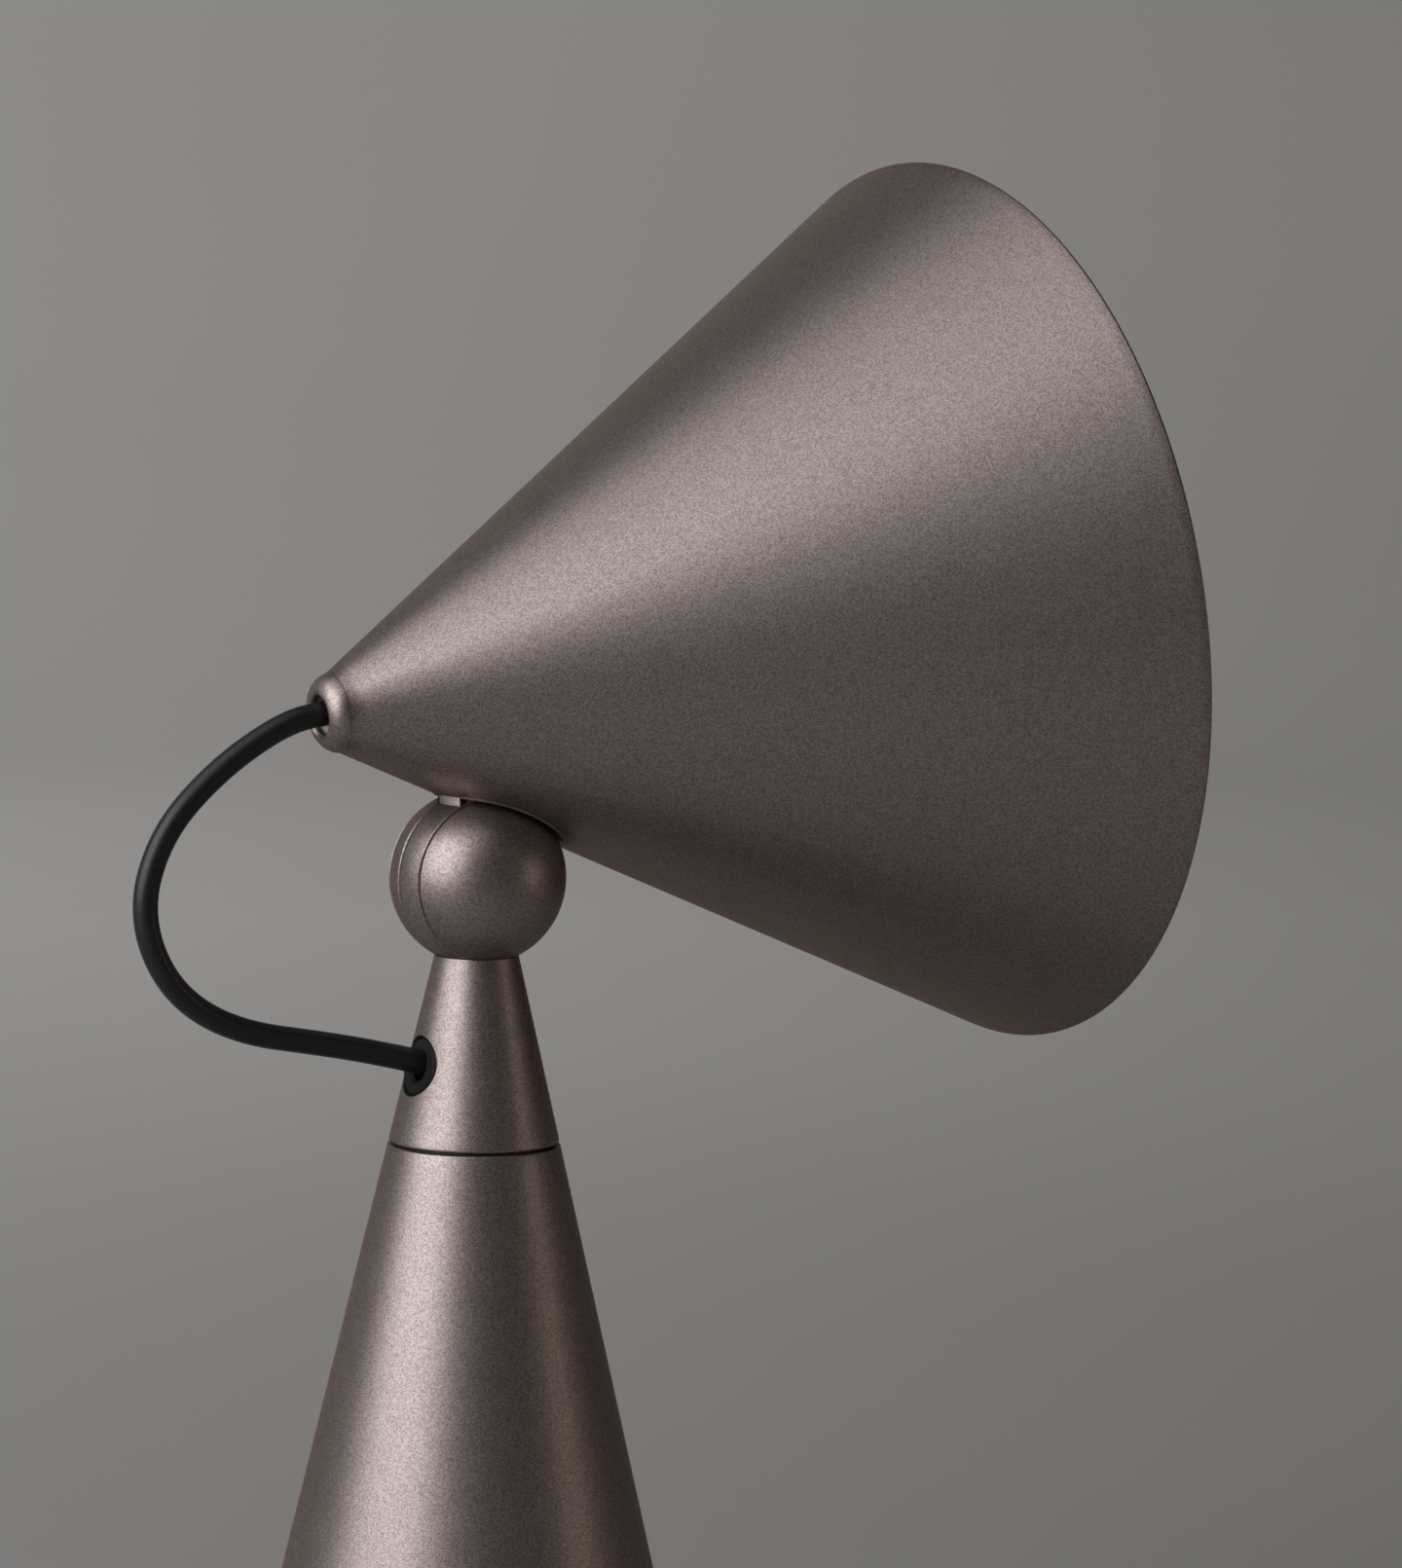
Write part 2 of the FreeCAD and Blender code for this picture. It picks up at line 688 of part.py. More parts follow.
# ---------------------------------------------------------------- neck


def make_neck():
    shell = turned("neck_cone_blank", [
        ("width_neck_foot", "neck_foot"),
        ("width_neck_top", "neck_top"),
        ("width_neck_top - neck_wall", "neck_top"),
        ("width_neck_foot - neck_wall", "neck_foot")])
    seat = ball("neck_seat", "ball_radius + seat_gap", SEAM_ABOVE)
    place = stand_surface(D["ball_height"] - D["grommet_drop"])
    hole = rod("grommet_hole", "grommet_radius + fit_gap", "grommet_radius + grommet_radius",
               moved(place, z=-D["grommet_radius"]))
    node("neck_cone", cut("neck_cone", shell, seat, hole))
    node("cord_grommet", cut("cord_grommet", turned("cord_grommet_blank", [
        ("grommet_bore", "0 - neck_wall - grommet_flange"),
        ("grommet_radius", "0 - neck_wall - grommet_flange"),
        ("grommet_radius", "0 - grommet_sink - soft_edge"),
        ("grommet_radius - soft_edge", "0 - grommet_sink"),
        ("grommet_bore + soft_edge", "0 - grommet_sink"),
        ("grommet_bore", "0 - grommet_sink - soft_edge")], place), cord_passage()))


def cord_passage():
    """Room for the cord where it crosses the grommet slightly above its middle."""
    return routed("grommet_passage", CORD_ROUTE[-3:], D["cord_radius"] + D["fit_gap"])


def make_stem():
    blank = turned("swivel_stem_blank", [
        ("stem_bore", "neck_foot - stem_length"),
        ("stem_radius", "neck_foot - stem_length"),
        ("stem_radius", "neck_foot"),
        ("width_neck_foot - neck_wall - fit_gap", "neck_foot"),
        ("width_neck_floor_top - neck_wall - fit_gap", "neck_floor_top"),
        ("stem_bore", "neck_floor_top")])
    spots = [Vector(0, side * D["neck_screw_offset"], D["neck_foot"]) for side in (-1, 1)]
    screws = [countersunk("neck_screw_%d" % i, "small_screw_head", "small_screw_shank", "small_screw_cone",
                          "neck_screw_length", Placement(spot, Rotation()))
              for i, spot in enumerate(spots)]
    group = together("neck_screws", screws)
    low = D["neck_floor_top"] - D["stop_pin_length"] - D["stop_pin_sink"]
    pin = rod("stop_pin", "stop_pin_radius", "stop_pin_length",
              Placement(Vector(D["stop_circle"], 0, low), Rotation()))
    node("swivel_stem", cut("swivel_stem", blank, group, pin))
    node("stop_pin", pin)
    node("neck_screws", group)
    top = "bush_bottom - running_gap"
    node("swivel_spring", ring("swivel_spring", "stem_radius + running_gap", "spring_radius",
                               top + " - spring_thick", top))
    nut_bottom = measure(top) - D["spring_thick"] - D["swivel_nut_thick"]
    node("swivel_nut", hexagon("swivel_nut", "swivel_nut_flats", "swivel_nut_thick",
                               "stem_radius + thread_slack", moved(FLOOR, z=nut_bottom)))
    return group


def make_knuckle(screws):
    """The neck's half of the hinge: one slice of the ball on a plug that fills the top of the neck."""
    disc = ball_slice("knuckle_slice", HINGE)
    plug = turned("knuckle_plug", [
        (0, "shank_bottom"),
        ("width_shank_bottom - neck_wall - fit_gap", "shank_bottom"),
        ("width_neck_top - neck_wall - fit_gap", "neck_top"),
        (0, "neck_top")])
    reach = D["tool_block"] / 2
    shank = cut("knuckle_shank", plug, half_seat("near_seat", -reach, D["slice_gap"]),
                half_seat("far_seat", D["slice_thick"], reach))
    body = together("knuckle_body", [disc, shank])
    bore = rod("knuckle_bore", "bolt_radius + thread_slack", "tool_length", HINGE)
    pins = cap_pins("far_cap_pins", 1, 0)
    node("hinge_knuckle", cut("hinge_knuckle", body, bore, pins, screws))
    cap = ball_cap("far", 1)
    node("far_cap", cut("far_cap", cap, pins))
    node("far_cap_pins", pins)


def half_seat(name, low, high):
    """The part of the ball's seat between two faces across the pin."""
    sphere = ball(name + "_ball", "ball_radius + seat_gap", SEAM_ABOVE)
    slab = block(name + "_slab", "tool_block", "%.3f" % (high - low), "tool_block", tool_corner(low))
    return overlap(name, sphere, slab)


def tool_corner(low):
    """Corner of a cutting block centred on the ball, starting at a distance along the pin."""
    half = D["tool_block"] / 2
    return Placement(BALL + Vector(-half, low, -half), Rotation())


def ball_slice(name, place):
    """A slice of the ball from the running gap to the slice's outer face, with rounded edges."""
    return turned(name, [
        (0, "slice_gap"),
        ("slice_gap_flat", "slice_gap"),
        ("slice_gap_skin", "slice_gap_skin_height", "seam_round"),
        ("slice_thick_skin", "slice_thick_skin_height", "ball_radius"),
        ("slice_thick_flat", "slice_thick", "seam_round"),
        (0, "slice_thick")], place)


def ball_cap(name, side):
    """The outer cap of the ball on one side of the hinge, hollow for the bolt, with a groove at its rim."""
    place = HINGE if side > 0 else NEAR_HINGE
    face = name + "_face"
    envelope = turned(name + "_envelope", [
        (0, "slice_thick + %s_pocket" % name),
        (name + "_pocket_radius", "slice_thick + %s_pocket" % name),
        (name + "_pocket_radius", "slice_thick"),
        (face + "_flat - groove_depth", "slice_thick"),
        (face + "_flat - groove_depth", face),
        (face + "_flat", face),
        (face + "_skin", face + "_skin_height", "seam_round"),
        ("ball_radius + groove_depth", face + "_skin_height"),
        ("ball_radius + groove_depth", "ball_radius + groove_depth"),
        (0, "ball_radius + groove_depth")], place)
    sphere = ball(name + "_ball", "ball_radius", Placement(BALL, Rotation()))
    return overlap(name + "_cap_blank", sphere, envelope)


def cap_pins(name, side, tilt):
    """Two dowels that locate a cap on its slice."""
    middle = side * D["slice_thick"]
    pins = []
    for i, offset in enumerate((-1, 1)):
        turned_frame = moved(HINGE, turn=tilt)
        place = moved(turned_frame, x=offset * D["cap_pin_offset"], z=middle - D["cap_pin_reach"])
        pins.append(rod("%s_%d" % (name, i), "cap_pin_radius", "cap_pin_reach + cap_pin_reach", place))
    return together(name, pins)


def make_hinge_bolt():
    """Pin of the hinge: socket head on the near side, spring and nut on the far side."""
    under_head = D["slice_thick"] + D["running_gap"]
    bolt = turned("hinge_bolt_blank", [
        (0, "0 - slice_thick - running_gap - bolt_head"),
        ("bolt_head_radius", "0 - slice_thick - running_gap - bolt_head"),
        ("bolt_head_radius", "0 - slice_thick - running_gap"),
        ("bolt_radius", "0 - slice_thick - running_gap"),
        ("bolt_radius", "bolt_end"),
        (0, "bolt_end")], HINGE)
    socket = doc.addObject("Part::Prism", "bolt_socket")
    socket.Polygon = 6
    bind(socket, Circumradius="bolt_socket", Height="bolt_head - bolt_socket_floor")
    socket.Placement = moved(HINGE, z=-under_head - D["bolt_head"])
    node("hinge_bolt", cut("hinge_bolt", bolt, socket))
    node("hinge_spring", ring("hinge_spring", "bolt_radius + thread_slack", "hinge_spring_radius",
                              "slice_thick", "slice_thick + hinge_spring_thick", HINGE))
    node("hinge_nut", hexagon("hinge_nut", "hinge_nut_flats", "hinge_nut_thick",
                              "bolt_radius + thread_slack",
                              moved(HINGE, z=D["slice_thick"] + D["hinge_spring_thick"])))
    node("friction_washer", ring("friction_washer", "bolt_radius + thread_slack", "friction_radius",
                                 "0 - slice_gap + running_gap", "slice_gap", HINGE))


# ---------------------------------------------------------------- shade


def make_shade_shell():
    shell = turned("shade_blank", [
        ("nose_hole", "nose_lip_end"),
        ("nose_face_radius", "nose_start", "nose_lip"),
        ("nose_shoulder_radius", "nose_shoulder", "nose_round"),
        ("shade_mouth_radius", "shade_length"),
        ("inside_shade_length", "shade_length"),
        ("inside_nose_inside", "nose_inside"),
        ("nose_hole", "nose_inside")], SHADE)
    recess = ball("shade_recess", "recess_radius", SEAM_BELOW)
    node("shade_shell", cut("shade_shell", shell, recess))


def cone_solid(name, grow_by):
    """The shade's outer cone as a solid, moved outwards by grow_by."""
    half = radians(D["shade_half_angle"])
    start = D["flange_start"] - D["recess_radius"] / 2
    end = D["flange_end"] + D["recess_radius"] / 2
    cone = doc.addObject("Part::Cone", name)
    cone.Radius1 = start * tan(half) + grow_by / cos(half)
    cone.Radius2 = end * tan(half) + grow_by / cos(half)
    cone.Height = end - start
    cone.Placement = moved(SHADE, z=start)
    return cone


def make_bracket():
    """The shade's half of the hinge: ball cup, tongue and the flange that lies inside the shade."""
    hollow = ball("cup_hollow", "cup_inner", SEAM_BELOW)
    cup = cut("cup_shell", ball("cup_ball", "cup_outer", SEAM_BELOW), hollow)
    cup_part = overlap("cup_part", cup, cone_solid("cup_limit", D["cup_proud"]))
    flange = turned("flange_blank", [
        ("inside_flange_start - fit_gap", "flange_start"),
        ("inside_flange_end - fit_gap", "flange_end"),
        ("inside_flange_end - flange_thick - fit_gap", "flange_end"),
        ("inside_flange_start - flange_thick - fit_gap", "flange_start")], SHADE)
    window = block("flange_window", "tool_block", "flange_half_width + flange_half_width",
                   "flange_end - flange_start", moved(SHADE, y=-D["flange_half_width"], z=D["flange_start"]))
    flange_part = cut("flange_part", overlap("flange_piece", flange, window),
                      ball("flange_hollow", "cup_inner + fit_gap + fit_gap", SEAM_BELOW))
    slab = block("tongue_slab", "tool_block", "slice_thick - slice_gap", "tool_block",
                 tool_corner(-D["slice_thick"]))
    reach = ball("tongue_ball", "cup_inner + fit_gap + fit_gap + fit_gap", SEAM_BELOW)
    web = overlap("tongue_web", slab, reach, cone_solid("tongue_limit", 0.0))
    disc = ball_slice("tongue_slice", NEAR_HINGE)
    body = together("bracket_body", [cup_part, flange_part, web, disc])
    bore = rod("tongue_bore", "bolt_radius + running_gap", "tool_length", NEAR_HINGE)
    pins = cap_pins("near_cap_pins", -1, D["cap_flat_tilt"])
    studs = together("bracket_studs", [
        rod("stud_%d" % i, "stud_radius", "stud_length", moved(spot, z=D["fit_gap"]))
        for i, spot in enumerate(stud_places())])
    holes = [rod("stud_hole_%d" % i, "stud_radius + fit_gap", "stud_length", moved(spot, turn=HOLE_TURN))
             for i, spot in enumerate(stud_places())]
    node("hinge_bracket", cut("hinge_bracket", body, bore, pins, *holes))
    node("bracket_studs", studs)
    under_flange = D["flange_thick"] * cos(radians(D["shade_half_angle"])) + 2 * D["fit_gap"]
    nuts = [hexagon("stud_nut_%d" % i, "stud_nut_flats", "stud_nut_thick", "stud_radius + thread_slack",
                    moved(spot, z=under_flange))
            for i, spot in enumerate(stud_places())]
    node("bracket_nuts", together("bracket_nuts", nuts))
    cap = ball_cap("near", -1)
    size = D["tool_block"]
    tilted = Placement(BALL, Rotation(Vector(0, 1, 0), D["cap_flat_tilt"]))
    flat = block("cap_flat_cutter", "tool_block", "tool_block", "tool_length",
                 moved(tilted, x=-size / 2, y=-size, z=D["cap_flat"]))
    node("near_cap", cut("near_cap", cap, flat, pins))
    node("near_cap_pins", pins)


def stud_places():
    """Four weld studs around the ball's cup, on the inside of the shade."""
    front = BALL_IN_SHADE.z + D["front_stud_shift"]
    rear = D["flange_end"] - D["rear_stud_inset"]
    rows = ((front, D["front_stud_angle"]), (rear, D["rear_stud_angle"]))
    return [shade_inside(along, side * around) for along, around in rows for side in (1, -1)]


def make_lamp_holder():
    node("nose_boss", turned("nose_boss", [
        ("tube_radius + thread_slack", "nose_inside + fit_gap"),
        ("inside_nose_inside - fit_gap", "nose_inside + fit_gap"),
        ("inside_boss_end - fit_gap", "boss_end"),
        ("tube_radius + thread_slack", "boss_end")], SHADE))
    node("holder_nipple", ring("holder_nipple", "nipple_bore", "tube_radius", "nipple_start", "nipple_end",
                               SHADE))
    node("nipple_nut", hexagon("nipple_nut", "nut_flats", "lock_nut_thick", "tube_radius + thread_slack",
                               moved(SHADE, z=D["boss_end"])))
    node("holder_cap", turned("holder_cap", [
        ("tube_radius + thread_slack", "holder_start"),
        ("holder_back_radius", "holder_start"),
        ("holder_radius - holder_wall", "holder_shoulder - holder_cap_edge", "-ball_radius"),
        ("holder_radius", "holder_shoulder"),
        ("holder_radius - holder_wall", "holder_shoulder"),
        ("holder_back_radius", "holder_start + holder_cap_floor"),
        ("tube_radius + thread_slack", "holder_start + holder_cap_floor")], SHADE))
    node("holder_body", turned("holder_body", [
        (0, "holder_shoulder"),
        ("holder_radius", "holder_shoulder"),
        ("holder_radius", "holder_end"),
        ("holder_cavity", "holder_end"),
        ("holder_cavity", "holder_floor"),
        (0, "holder_floor")], SHADE))
    node("reflector_ring", ring("reflector_ring", "holder_radius + thread_slack", "ring_radius",
                                "reflector_back + reflector_wall",
                                "reflector_back + reflector_wall + ring_thick", SHADE))


def make_reflector():
    """White inner cone, clamped on the lamp holder and turned out to the shade at its mouth."""
    node("inner_reflector", turned("inner_reflector", [
        ("reflector_bore", "reflector_back"),
        ("inside_reflector_back - reflector_gap - reflector_gap", "reflector_back"),
        ("inside_shade_length - reflector_gap - reflector_gap", "shade_length - reflector_lip"),
        ("inside_shade_length - reflector_lip", "shade_length - reflector_lip"),
        ("inside_shade_length - reflector_lip", "shade_length - reflector_lip + reflector_wall"),
        ("inside_shade_length - reflector_gap - reflector_gap - reflector_wall",
         "shade_length - reflector_lip + reflector_wall"),
        ("inside_reflector_back - reflector_gap - reflector_gap - reflector_wall",
         "reflector_back + reflector_wall"),
        ("reflector_bore", "reflector_back + reflector_wall")], SHADE))


def make_bulb():
    node("bulb_screw_cap", turned("bulb_screw_cap", [
        (0, "bulb_cap_start"),
        ("bulb_tip_radius", "bulb_cap_start"),
        ("bulb_cap_radius", "bulb_cap_start + bulb_tip_rise"),
        ("bulb_cap_radius", "bulb_cap_end"),
        (0, "bulb_cap_end")], SHADE))
    reach = sqrt(D["bulb_radius"] ** 2 - (D["bulb_centre"] - D["bulb_waist"]) ** 2)
    node("bulb_body", turned("bulb_body", [
        (0, "bulb_cap_end"),
        ("bulb_cap_radius + bulb_collar_step", "bulb_cap_end"),
        ("bulb_collar_radius", "bulb_cap_end + bulb_collar_rise"),
        (reach, "bulb_waist"),
        (0, "bulb_waist")], SHADE))
    sphere = ball("globe_ball", "bulb_radius", moved(SHADE, z=D["bulb_centre"]))
    front = ring("globe_front", 0, "bulb_radius + fit_gap", "bulb_waist",
                 "bulb_centre + bulb_radius + fit_gap", SHADE)
    node("bulb_globe", overlap("bulb_globe", sphere, front))


# ---------------------------------------------------------------- cords and leads

# Cord from the nose of the shade round to the grommet in the neck: (x, z) from the ball's middle.
CORD_ROUTE = [
    (-30.3, 40.7),
    (-40.8, 40.0),
    (-51.8, 37.4),
    (-68.2, 27.2),
    (-81.8, 13.2),
    (-87.0, -4.6),
    (-79.8, -22.2),
    (-63.6, -33.0),
    (-38.0, -37.5),
    (-22.0, -41.0),
    (-12.0, -43.6),
]

# Stripped end of the cord, from the grommet down the middle of the stem.
NECK_LEAD_ROUTE = [(-11.6, -43.7), (0.0, -48.0), (0.0, -118.0)]

# Lead from the swivel down the tie tube, out of its window and into the terminal block: (x, z) from the floor.
BASE_LEAD_ROUTE = [
    (0.0, D["ball_height"] - D["base_lead_top"]),
    (0.0, 76.0),
    (7.15, 56.0),
    (9.1, 38.0),
    (11.4, 32.0),
]


def make_leads():
    node("jumper_cord", routed("jumper_cord", CORD_ROUTE, D["cord_radius"]))
    node("neck_lead", routed("neck_lead", NECK_LEAD_ROUTE, D["lead_radius"]))
    node("shade_lead", rod("shade_lead", "lead_radius", "holder_shoulder - nipple_start - shade_lead_gap",
                           moved(SHADE, z=D["shade_lead_start"])))
    node("base_lead", routed("base_lead", BASE_LEAD_ROUTE, D["lead_radius"], Vector(0, 0, 0)))


# ---------------------------------------------------------------- build, check and write


def build():
    make_foot()
    make_base_cone()
    make_tie()
    make_swivel_seat()
    make_inlet()
    make_terminals()
    make_neck()
    screws = make_stem()
    make_knuckle(screws)
    make_hinge_bolt()
    make_shade_shell()
    make_bracket()
    make_lamp_holder()
    make_reflector()
    make_bulb()
    make_leads()
    doc.recompute()


def check():
    """Stop before anything is written if an object failed or a sub-part is not a valid solid."""
    for thing in doc.Objects:
        if "Invalid" in thing.State or "Error" in thing.State:
            raise RuntimeError("%s failed: %s" % (thing.Name, thing.getStatusString()))
    for name, solid in PARTS:
        shape = solid.Shape
        if shape.isNull() or not shape.isValid() or not shape.Solids:
            raise RuntimeError("%s has no valid solid" % name)
    names = [name for name, solid in PARTS]
    if len(set(names)) != len(names):
        raise RuntimeError("a name is used twice")


def write():
    os.makedirs("parts", exist_ok=True)
    for name, solid in PARTS:
        solid.Shape.exportStep(os.path.join("parts", name + ".step"))
    print("%d sub-parts written" % len(PARTS))


build()
check()
write()
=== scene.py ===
import json
from math import acos, asin, atan, atan2, cos, degrees, pi, radians, sin, sqrt, tan

import bmesh
import bpy
from mathutils import Matrix, Vector


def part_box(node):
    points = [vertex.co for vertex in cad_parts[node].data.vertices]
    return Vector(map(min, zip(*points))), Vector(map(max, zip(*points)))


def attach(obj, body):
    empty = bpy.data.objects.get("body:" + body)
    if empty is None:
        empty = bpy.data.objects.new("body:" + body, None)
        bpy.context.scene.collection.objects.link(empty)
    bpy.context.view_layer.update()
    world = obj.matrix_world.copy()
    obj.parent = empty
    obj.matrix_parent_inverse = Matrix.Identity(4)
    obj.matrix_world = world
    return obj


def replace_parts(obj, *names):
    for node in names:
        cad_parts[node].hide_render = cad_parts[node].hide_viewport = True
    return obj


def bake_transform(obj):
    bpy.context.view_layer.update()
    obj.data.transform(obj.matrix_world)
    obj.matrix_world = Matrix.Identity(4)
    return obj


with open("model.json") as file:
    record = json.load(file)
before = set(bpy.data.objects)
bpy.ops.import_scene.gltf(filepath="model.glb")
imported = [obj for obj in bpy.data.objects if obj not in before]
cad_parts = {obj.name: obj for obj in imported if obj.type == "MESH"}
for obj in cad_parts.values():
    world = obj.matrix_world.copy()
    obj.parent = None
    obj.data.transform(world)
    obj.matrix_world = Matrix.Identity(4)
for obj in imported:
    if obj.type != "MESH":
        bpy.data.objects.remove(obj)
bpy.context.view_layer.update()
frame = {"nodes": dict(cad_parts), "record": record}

NODES = frame["nodes"]
MM = 0.001

# ---------------------------------------------------------------- places, from the frame or in millimetres

far_low, far_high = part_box("far_cap")
BALL_RADIUS = far_high.y
BALL = Vector((0, 0, (far_low.z + far_high.z) / 2))
HINGE = Matrix.Translation(BALL) @ Matrix.Rotation(radians(-90), 4, "X")

SHADE_TILT = 7.33
SHADE_MOUTH = (107.5, 187.65)
SHADE_SLOPE = SHADE_MOUTH[0] / SHADE_MOUTH[1]
SHADE_HALF_ANGLE = atan(SHADE_SLOPE)
APEX_BACK = 54.1
APEX_RISE = 37.66
SHADE = (Matrix.Translation(BALL + Vector((-APEX_BACK, 0, APEX_RISE)) * MM)
         @ Matrix.Rotation(radians(90 - SHADE_TILT), 4, "Y"))
BALL_IN_SHADE = SHADE.inverted() @ BALL / MM
CAP_FLAT = 16.6
CAP_TILT = 18.0

# Cord from the nose of the shade round to the grommet in the neck, from the ball's middle, in metres.
CORD_ROUTE = [
    (-0.0303, 0.0407),
    (-0.0408, 0.0400),
    (-0.0518, 0.0374),
    (-0.0682, 0.0272),
    (-0.0818, 0.0132),
    (-0.0870, -0.0046),
    (-0.0798, -0.0222),
    (-0.0636, -0.0330),
    (-0.0380, -0.0375),
    (-0.0220, -0.0410),
    (-0.0120, -0.0436),
]
CORD_DIAMETER = 5.8 * MM
CORD_SIDES = 32

# ---------------------------------------------------------------- camera

CAMERA_TURN = 28.036
CAMERA_RISE = 6.84
CAMERA_DISTANCE = 1.5198
LOOK_TURN = 1.97
LOOK_PITCH = -5.99
LOOK_ROLL = 1.01
LENS = 148.94


def make_camera():
    """The viewpoint: behind the shade's side, a little above the ball, with a long lens."""
    turn = radians(CAMERA_TURN)
    rise = radians(CAMERA_RISE)
    place = BALL + CAMERA_DISTANCE * Vector((-sin(turn) * cos(rise), -cos(turn) * cos(rise), sin(rise)))
    heading = turn + radians(LOOK_TURN)
    pitch = radians(LOOK_PITCH)
    look = Vector((sin(heading) * cos(pitch), cos(heading) * cos(pitch), sin(pitch)))
    level = look.cross(Vector((0, 0, 1))).normalized()
    upright = level.cross(look)
    roll = radians(LOOK_ROLL)
    right = level * cos(roll) + upright * sin(roll)
    up = upright * cos(roll) - level * sin(roll)
    data = bpy.data.cameras.new("camera")
    data.lens = LENS
    data.sensor_width = 36
    camera = bpy.data.objects.new("camera", data)
    bpy.context.scene.collection.objects.link(camera)
    camera.matrix_world = Matrix.Translation(place) @ Matrix((right, up, -look)).transposed().to_4x4()
    bpy.context.scene.camera = camera
    return camera


# ---------------------------------------------------------------- materials


class Surface:
    """A Principled material whose nodes are driven by the position in each mesh's own frame."""

    def __init__(self, name, **sockets):
        self.material = bpy.data.materials.new(name)
        self.material.use_nodes = True
        self.tree = self.material.node_tree
        self.shader = self.tree.nodes["Principled BSDF"]
        for socket, value in sockets.items():
            self.shader.inputs[socket.replace("_", " ")].default_value = value
        self.place = self.tree.nodes.new("ShaderNodeTexCoord").outputs["Object"]
        self.normal = None

    def node(self, kind, **settings):
        made = self.tree.nodes.new("ShaderNode" + kind)
        for name, value in settings.items():
            setattr(made, name, value)
        return made

    def link(self, start, end):
        self.tree.links.new(start, end)
        return self

    def stretched(self, x, y, z):
        """The position scaled by a different amount along each axis, for brushed and turned grain."""
        mapping = self.node("Mapping")
        mapping.inputs["Scale"].default_value = (x, y, z)
        self.link(self.place, mapping.inputs["Vector"])
        return mapping.outputs["Vector"]

    def noise(self, size, detail=2.0, roughness=0.5, vector=None):
        """Cloudy noise whose blobs are about size metres across."""
        made = self.node("TexNoise")
        made.inputs["Scale"].default_value = 1 / size
        made.inputs["Detail"].default_value = detail
        made.inputs["Roughness"].default_value = roughness
        self.link(vector or self.place, made.inputs["Vector"])
        return made.outputs["Fac"]

    def cells(self, size):
        """A random value for each cell about size metres across, as of metal flakes."""
        made = self.node("TexVoronoi")
        made.inputs["Scale"].default_value = 1 / size
        self.link(self.place, made.inputs["Vector"])
        split = self.node("SeparateColor")
        self.link(made.outputs["Color"], split.inputs["Color"])
        return split.outputs["Red"]

    def colour(self, value, dark, light):
        """Base colour between two colours."""
        ramp = self.node("ValToRGB")
        ramp.color_ramp.elements[0].position = 0.25
        ramp.color_ramp.elements[0].color = (*dark, 1)
        ramp.color_ramp.elements[1].position = 0.75
        ramp.color_ramp.elements[1].color = (*light, 1)
        self.link(value, ramp.inputs["Fac"])
        self.link(ramp.outputs["Color"], self.shader.inputs["Base Color"])
        return self

    def rough(self, value, low, high):
        spread = self.node("MapRange")
        spread.inputs["From Min"].default_value = 0.25
        spread.inputs["From Max"].default_value = 0.75
        spread.inputs["To Min"].default_value = low
        spread.inputs["To Max"].default_value = high
        self.link(value, spread.inputs["Value"])
        self.link(spread.outputs["Result"], self.shader.inputs["Roughness"])
        return self

    def relief(self, value, height, strength=1.0):
        """Bump of a real height in metres; several calls stack."""
        bump = self.node("Bump")
        bump.inputs["Distance"].default_value = height
        bump.inputs["Strength"].default_value = strength
        self.link(value, bump.inputs["Height"])
        if self.normal:
            self.link(self.normal, bump.inputs["Normal"])
        self.normal = bump.outputs["Normal"]
        self.link(self.normal, self.shader.inputs["Normal"])
        return self


def shade_of(colour, factor):
    return tuple(channel * factor for channel in colour)


def bronze_paint():
    """Warm grey-brown metallic paint: fine flakes under a satin, slightly pebbled surface."""
    base = (0.335, 0.288, 0.276)
    paint = Surface("bronze_paint", Metallic=1.0, Specular_Tint=(0.62, 0.55, 0.50, 1))
    flakes = paint.cells(0.26 * MM)
    paint.colour(flakes, shade_of(base, 0.74), shade_of(base, 1.26))
    paint.rough(paint.noise(6 * MM, 3), 0.42, 0.45)
    paint.relief(paint.noise(0.28 * MM, 2), 0.010 * MM)
    return paint.material


def white_enamel():
    """Warm white enamel of the reflector, faintly uneven from spraying."""
    enamel = Surface("white_enamel", Coat_Weight=0.2, Coat_Roughness=0.2)
    enamel.colour(enamel.noise(25 * MM, 3), (0.80, 0.79, 0.76), (0.86, 0.855, 0.835))
    enamel.rough(enamel.noise(2 * MM, 3), 0.34, 0.44)
    enamel.relief(enamel.noise(1.2 * MM, 2), 0.02 * MM)
    return enamel.material


def metal(name, dark, light, rough, grain, height, stretch=(1, 1, 1)):
    """Bare or plated metal with a directional grain."""
    surface = Surface(name, Metallic=1.0)
    direction = surface.stretched(*stretch)
    surface.colour(surface.noise(6 * MM, 4), dark, light)
    surface.rough(surface.noise(grain, 4, 0.6, direction), *rough)
    surface.relief(surface.noise(grain, 3, 0.6, direction), height)
    return surface.material


def moulding(name, dark, light, rough, grain, height, **sockets):
    """Plastic or rubber with a fine moulded texture."""
    surface = Surface(name, **sockets)
    surface.colour(surface.noise(4 * MM, 3), dark, light)
    surface.rough(surface.noise(grain * 3, 3), *rough)
    surface.relief(surface.noise(grain, 3), height)
    return surface.material


